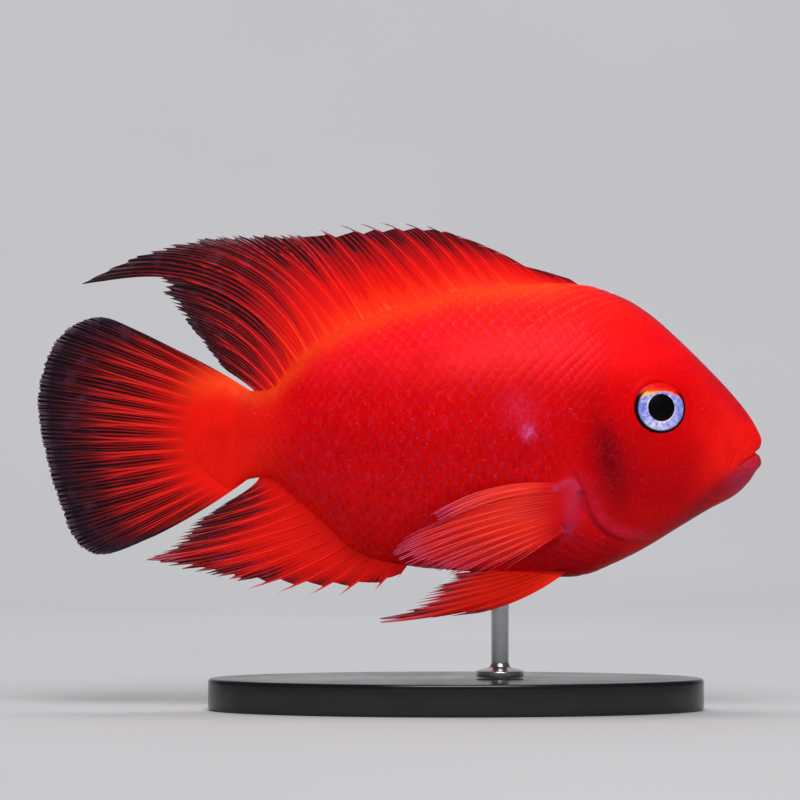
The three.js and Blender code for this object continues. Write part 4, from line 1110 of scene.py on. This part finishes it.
# %% Anal fin
ANAL_ROOTS = [
    [3.5, -31.4], [-4, -30.4], [-11, -27.4], [-16.5, -22.4], [-22.5, -16.8], [-29, -12.2], [-33.6, -9.4],
]
ANAL_TIPS = [
    [-0.8, -37.4], [-6.5, -40.3], [-15.4, -41.5], [-23.2, -41.5], [-31.6, -41], [-39.5, -40.1], [-48, -38],
    [-56.4, -35.6], [-64.7, -32.6], [-59.8, -30], [-55.6, -26.3], [-52, -23], [-48, -20.6], [-44.2, -18.4],
    [-40.8, -16.6], [-37.4, -14.8],
]
ANAL_RAYS = 16
anal_points = flat_fin(
    ANAL_ROOTS, lambda t: along(ANAL_TIPS, t), bow=even(-0.03),
    wave=lambda t, v: -1.2 * v * v * np.sin(3 * t))
ANAL = fin_material(
    "fin web, anal, wet",
    [(0.0, "#C00C0A"), (0.3, "#D4100A"), (0.58, "#B4080A"), (0.74, "#54060E"), (0.88, "#1C0810"),
     (1.0, "#120810")],
    [(0.0, "#D8140A"), (0.25, "#F02012"), (0.5, "#F02216"), (0.78, "#E82824"), (0.9, "#D86874"),
     (1.0, "#E0C4D0")],
    streaks=0.45,
)
fin_sheet(
    "anal_web", ["anal_fin"], lambda u, v: anal_points(u / (ANAL_RAYS - 1), v), ANAL_RAYS, ANAL,
    12, spines=5, forks=(0.4, 0.66), per_ray=28, ridge=0.55, ridge_width=0.24, root=(2.6, 0.14),
    notch=even(0.09),
    spine_notch=lambda u: 0.36 - 0.02 * u, redder=lambda u: 0.03 - 0.38 * ease((u - 7) / 6),
    bundled=0.2, flesh=8.0,
)

# %% Tail fin
TAIL_ROOTS = [[-36.4, 9.2], [-41, 8.2], [-44.4, 4], [-45.2, -1.4], [-44.4, -7], [-41, -10.4], [-36.8, -11.4]]
TAIL_TIPS = [
    [-63, 23.2], [-74.2, 28.3], [-83, 25.8], [-88.4, 19.4], [-90.7, 11.2], [-90.9, 3.8], [-89.6, -3.4],
    [-87.6, -11.6], [-84.8, -20], [-80.8, -28.6], [-73.8, -31.2], [-61.5, -26.6],
]
TAIL_RAYS = 18
tail_points = flat_fin(
    TAIL_ROOTS, lambda t: along(TAIL_TIPS, t), bow=lambda t: 0.05 * (0.5 - t),
    wave=lambda t, v: 2.2 * v * v * np.sin(4.2 * t + 0.6))
TAIL = fin_material(
    "fin web, tail, wet",
    [(0.0, "#C81008"), (0.18, "#C00C06"), (0.34, "#8A0606"), (0.5, "#3C0408"), (0.72, "#14040A"),
     (1.0, "#0C060C")],
    [(0.0, "#C81008"), (0.2, "#D8160C"), (0.4, "#E41C12"), (0.58, "#CC1610"), (0.78, "#681018"),
     (0.93, "#301A28"), (0.975, "#60505E"), (1.0, "#E0D6DE")],
)
fin_sheet(
    "tail_web", ["tail_fin"], lambda u, v: tail_points(u / (TAIL_RAYS - 1), v), TAIL_RAYS, TAIL,
    13, forks=(0.22, 0.5), per_ray=28, ridge=0.42, ridge_width=0.24, root=(3.0, 0.1),
    notch=even(0.013), bare=0.3, bundled=0.24, flesh=17.0,
    redder=lambda u: 0.04 - 0.2 * ease((2.5 - u) / 2.5) - 0.1 * ease((u - 13) / 3),
)

# %% [markdown]
# The paired fins
#
# The pectoral fins leave the flanks behind the gill covers and lie back along them, a little apart, with a
# paler, thinner web than the others. The pelvic fins stand under the breast, spread a little and swept back
# to the vent. Bending a flat fin into place would be one way. Here each ray runs straight to its place at
# the body's side instead, so root and tip lie exactly where they are meant to.

# %% Pectoral fins
# Each ray has its own tip, read from the upper edge down to the lower one
PECTORAL_ROOTS = [[43.4, -13.6], [43.0, -19], [41.6, -24.4]]
PECTORAL_TIPS = [
    [7.1, -21.0], [8.3, -22.2], [7.8, -24.1], [0.8, -26.4], [-1.7, -28.9], [-2.2, -30.4], [-1.3, -32.1],
    [0.2, -33.5], [4.6, -34.4], [8.1, -34.9], [11.8, -36.0], [16.2, -36.3], [24.0, -35.6],
]
PECTORAL_SUNK = 1.1  # how deep the root lies under the flank's skin
PECTORAL_ROOT_OUT = skin_out(PECTORAL_ROOTS) - PECTORAL_SUNK
PECTORAL_TIP_OUT = [23.4, 24.6, 25.6, 25.2, 24, 22.4, 20.5]
# The thinnest web of all, so a softer, pinker red with pale rays and no dark margin
PECTORAL = fin_material(
    "fin web, pectoral, wet",
    [(0.0, "#B81824"), (0.14, "#DC281C"), (0.4, "#CC1812"), (0.6, "#A40A10"), (1.0, "#8C0818")],
    [(0.0, "#B81C30"), (0.16, "#F03C28"), (0.5, "#F4483A"), (0.78, "#E8444C"), (0.93, "#D85C88"),
     (1.0, "#DC98C8")],
    streaks=0.3, lines=3.0,
)
for side, side_name in ((-1, "right"), (1, "left")):
    pectoral_points = paired_fin(
        side, PECTORAL_ROOTS, PECTORAL_TIPS, PECTORAL_ROOT_OUT, PECTORAL_TIP_OUT,
        bow=lambda t: 0.1 * (1 - t) ** 1.5, leave=lambda v: np.sin(v * math.pi / 2) ** 1.2, ripple=0.7)
    fin_sheet(
        "pectoral_web_" + side_name, ["pectoral_fin_" + side_name], pectoral_points, len(PECTORAL_TIPS),
        PECTORAL, 14, forks=(0.3, 0.6), per_ray=28, ridge=0.26, ridge_width=0.15, root=(1.2, 0.2),
        bare=0.35, notch=lambda u: 0.12 + 0.4 * ease((u - 9.5) / 2), flesh=13.0, facing=side,
        redder=lambda u: 0.2 - 0.2 * ease((u - 5) / 4),
    )

# %% Pelvic fins
PELVIC_ROOTS = [[41.4, -35.2], [36, -34.8], [29, -34.2]]
PELVIC_TIPS = [
    [19.6, -45.3], [10.4, -46.3], [-5.5, -47.8], [1.4, -45.2], [2.9, -43.4], [4.7, -41.7], [7.7, -39.7],
    [11.4, -38.0], [13.1, -36.2],
]
PELVIC_ROOT_OUT = [6.6, 5.4, 4.2]
PELVIC_TIP_OUT = [11.5, 11.4, 11.2, 10.8, 10.2, 9.5, 8.6, 7.6, 6.6]
# A thicker web than the pectoral fin's, red nearly to the margin
PELVIC = fin_material(
    "fin web, pelvic, wet",
    [(0.0, "#EA2010"), (0.55, "#E01C10"), (0.78, "#B01418"), (0.92, "#5A1020"), (1.0, "#34101C")],
    [(0.0, "#F82C16"), (0.6, "#FA3422"), (0.85, "#F05058"), (0.95, "#E090A8"), (1.0, "#E8C8D8")],
)
for side, side_name in ((-1, "right"), (1, "left")):
    pelvic_points = paired_fin(
        side, PELVIC_ROOTS, PELVIC_TIPS, PELVIC_ROOT_OUT, PELVIC_TIP_OUT,
        bow=lambda t: -0.06 * (1 - t), leave=lambda v: v)
    fin_sheet(
        "pelvic_web_" + side_name, ["pelvic_fin_" + side_name], pelvic_points, len(PELVIC_TIPS),
        PELVIC, 15, spines=0.4, forks=(0.45,), per_ray=22, ridge=0.5, ridge_width=0.28,
        root=(1.8, 0.12), bundled=0.3, facing=side,
        notch=lambda u: 0.14 - 0.12 * hump(u - 2, 0.5) + 0.16 * ease((u - 2) / 1.5) * ease((8 - u) / 3),
    )

# %% [markdown]
# The stand
#
# The photograph shows a swimming fish. The model is held up by an oval base of black cast acrylic and one
# brushed steel rod with a small cup under the belly. Both are turned shapes, so each is one profile spun
# round, with rounded edges that catch a line of light, where a sharp edge would look drawn.

# %% Stand materials
# Cast acrylic, black, polished by hand: a deep shine, blurred here and there by fine wiping marks
ACRYLIC, tree = new_material("cast acrylic, black, hand polished")
place = (add(tree, "TexCoord"), "Object")
wiped = add(tree, "TexNoise", {  # wiping marks, about 12 mm
    "Vector": place, "Scale": 1 / (20 * MM), "Detail": 7.0, "Roughness": 0.65})
rough = add(tree, "MapRange", {
    "Value": wiped, "From Min": 0.3, "From Max": 0.75, "To Min": 0.12, "To Max": 0.3})
dust = add(tree, "TexNoise", {  # specks of dust, drawn 0.5 mm wide so that they show
    "Vector": place, "Scale": 1 / (0.9 * MM), "Detail": 2.0})
dust = add(tree, "MapRange", {"Value": dust, "From Min": 0.7, "From Max": 0.8, "To Max": 0.12})
colour = layer(tree, "#131316", "#6A6A70", dust)
shader = add(tree, "BsdfPrincipled", {"Base Color": colour, "Roughness": rough, "IOR": 1.49})
add(tree, "OutputMaterial", {"Surface": shader})

# Stainless steel, brushed round the rod on a lathe: a soft shine drawn out along the rod
STEEL, tree = new_material("stainless steel, brushed")
place = (add(tree, "TexCoord"), "Object")
drawn = add(tree, "Mapping", {"Vector": place, "Scale": (1.0, 1.0, 20.0)})
brushed = add(tree, "TexNoise", {  # brush lines round the rod, about 0.1 mm wide
    "Vector": drawn, "Scale": 1 / (3 * MM), "Detail": 3.0})
rough = add(tree, "MapRange", {"Value": brushed, "To Min": 0.24, "To Max": 0.36})
bump = add(tree, "Bump", {"Height": brushed, "Strength": 0.08, "Distance": 0.02 * MM})
shader = add(tree, "BsdfPrincipled", {
    "Base Color": "#C4C6C8", "Metallic": 1.0, "Roughness": rough, "Normal": bump})
add(tree, "OutputMaterial", {"Surface": shader})

# %% Stand meshes
BASE_EDGE, ROD_EDGE = 1.1, 0.35  # how far the bends of rounded edges reach
ROD_FOOT = [[0.3, 0], [6.0, 0], [6.0, 1.5], [2.7, 2.4], [2.2, 3.4]]  # radius, and height over the low end
ROD_CUP = [[2.2, -5.2], [3.4, -1.6], [3.4, -0.2], [0.3, -0.2]]  # radius, and height from the high end


def spin(profile, segments, centre, squash=1.0):
    """A closed turned shape about an upright axis, its width in y scaled by squash."""
    turn = np.arange(segments) * 2 * math.pi / segments
    x = centre[0] + profile[None, :, 0] * np.cos(turn)[:, None]
    y = profile[None, :, 0] * np.sin(turn)[:, None] * squash
    points = np.stack([x, y, profile[:, 1] + 0 * x], -1).reshape(-1, 3)
    ends = [[centre[0], 0, profile[0, 1]], [centre[0], 0, profile[-1, 1]]]
    return np.vstack([points, ends]), turned_faces(segments, len(profile))


def rounded(corners, radius, steps=6):
    """A profile with each inner corner replaced by a short smooth bend."""
    corners = np.asarray(corners, float)
    out = [corners[0]]
    for before, corner, after in zip(corners[:-2], corners[1:-1], corners[2:]):
        a = corner + (before - corner) / np.linalg.norm(before - corner) * radius
        b = corner + (after - corner) / np.linalg.norm(after - corner) * radius
        out += [(1 - t) ** 2 * a + 2 * t * (1 - t) * corner + t * t * b for t in np.linspace(0, 1, steps)]
    return np.array(out + [corners[-1]])


base_low, base_high = (np.array(c) / MM - FISH_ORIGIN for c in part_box("stand_base"))
half = (base_high - base_low) / 2
slab = [[0.5, base_low[2]], [half[0], base_low[2]], [half[0], base_high[2]], [0.5, base_high[2]]]
points, faces = spin(rounded(slab, BASE_EDGE), 256, (base_low + base_high) / 2, half[1] / half[0])
make_piece("stand_base_oval", points, faces, ACRYLIC, ["stand_base"])

rod_low, rod_high = (np.array(c) / MM - FISH_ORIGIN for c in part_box("stand_rod"))
rod = np.vstack([ROD_FOOT + np.array([0, rod_low[2]]), ROD_CUP + np.array([0, rod_high[2]])])
points, faces = spin(rounded(rod, ROD_EDGE), 64, (rod_low + rod_high) / 2)
make_piece("stand_rod_turned", points, faces, STEEL, ["stand_rod"])

# %% [markdown]
# Stage, light and camera
#
# A pale floor runs up into a backdrop in one sweep, so no horizon crosses the picture. A soft key light
# stands above and in front. Weaker ones fill from the front and from the sides, low enough to reach under
# the belly, one behind draws a thin edge along the back, and one lights the backdrop alone. Only the key
# light is mirrored in the fish, because the others would lie as a white veil on the wet red skin. The camera
# stands level with the fish and far away, as in the photograph, so that it sees the flank square on.

# %% Stage
# Backdrop paper, matt: it gives no reflection, only an even tone
FLOOR_FRONT, FLOOR_BACK, SWEEP_RADIUS, WALL_TOP, HALF_WIDTH = -2.2, 0.7, 0.8, 2.6, 2.5  # metres
STAGE, tree = new_material("backdrop paper, matt")
place = (add(tree, "TexCoord"), "Object")
pulp = add(tree, "TexNoise", {  # uneven tone of the pulp, about 200 mm
    "Vector": place, "Scale": 1 / (300 * MM), "Detail": 2.0})
paper = add(tree, "ValToRGB", {"Fac": pulp}, stops=[(0.3, "#BDBDC0"), (0.7, "#C1C1C4")])
shader = add(tree, "BsdfPrincipled", {"Base Color": paper, "Roughness": 0.95, "IOR": 1.2})
add(tree, "OutputMaterial", {"Surface": shader})
bend = np.linspace(0, math.pi / 2, 24)[1:]
sweep = [(FLOOR_FRONT, 0.0), (FLOOR_BACK, 0.0)]
sweep += [(FLOOR_BACK + SWEEP_RADIUS * math.sin(q), SWEEP_RADIUS * (1 - math.cos(q))) for q in bend]
sweep += [(FLOOR_BACK + SWEEP_RADIUS, WALL_TOP)]
n = len(sweep)
mesh = bpy.data.meshes.new("backdrop")
mesh.from_pydata(
    [(x, y, z) for x in (-HALF_WIDTH, HALF_WIDTH) for y, z in sweep], [],
    [(i, i + 1, n + i + 1, n + i) for i in range(n - 1)])
mesh.materials.append(STAGE)
for polygon in mesh.polygons:
    polygon.use_smooth = True
backdrop = bpy.data.objects.new("backdrop", mesh)
bpy.context.scene.collection.objects.link(backdrop)
print("backdrop:", len(mesh.polygons), "faces")

# %% Lights
def soft_light(name, place, target, size, watts, mirrored=False):
    """A square area light that faces a target. Only a mirrored one shows in wet skin and in the eye."""
    light = bpy.data.lights.new(name, "AREA")
    light.shape, light.size, light.energy = "SQUARE", size, watts
    lamp = bpy.data.objects.new(name, light)
    lamp.location = place
    lamp.rotation_euler = (Vector(target) - Vector(place)).to_track_quat("-Z", "Y").to_euler()
    lamp.visible_glossy = mirrored
    bpy.context.scene.collection.objects.link(lamp)


soft_light("key", (0.05, -0.85, 1.0), (0, 0, 0.08), 0.6, 10, mirrored=True)
soft_light("front", (0.0, -1.35, 0.15), (0, 0, 0.07), 0.5, 3.5)
soft_light("fill_left", (-0.85, -0.8, 0.12), (0, 0, 0.06), 0.5, 3.6)
soft_light("fill_right", (0.95, -0.6, 0.25), (0, 0, 0.06), 0.5, 3)
soft_light("rim", (-0.2, 0.6, 0.9), (0, 0, 0.1), 0.5, 1.2)
soft_light("backdrop_light", (0, 0.45, 1.5), (0, 1.3, 0.35), 0.9, 16)
world = bpy.data.worlds.new("studio")
bpy.context.scene.world = world
world.use_nodes = True
world.node_tree.nodes["Background"].inputs["Color"].default_value = linear("#F2F3F6")
world.node_tree.nodes["Background"].inputs["Strength"].default_value = 0.08

# %% Camera
VIEW_WIDTH = 0.2  # metres across the picture at the fish's middle plane
VIEW_LIFT = 7.5  # millimetres from the fish's own zero up to the picture's middle
LENS, SENSOR = 250.0, 36.0
distance = VIEW_WIDTH * LENS / SENSOR
camera = bpy.data.objects.new("camera", bpy.data.cameras.new("camera"))
camera.data.lens, camera.data.sensor_width = LENS, SENSOR
camera.location = (FISH_ORIGIN[0] * MM, -distance, (FISH_ORIGIN[2] + VIEW_LIFT) * MM)
camera.rotation_euler = (math.pi / 2, 0, 0)
bpy.context.scene.collection.objects.link(camera)
bpy.context.scene.camera = camera
bpy.context.scene.view_settings.view_transform = "Standard"
print(f"camera {distance:.2f} metres away")
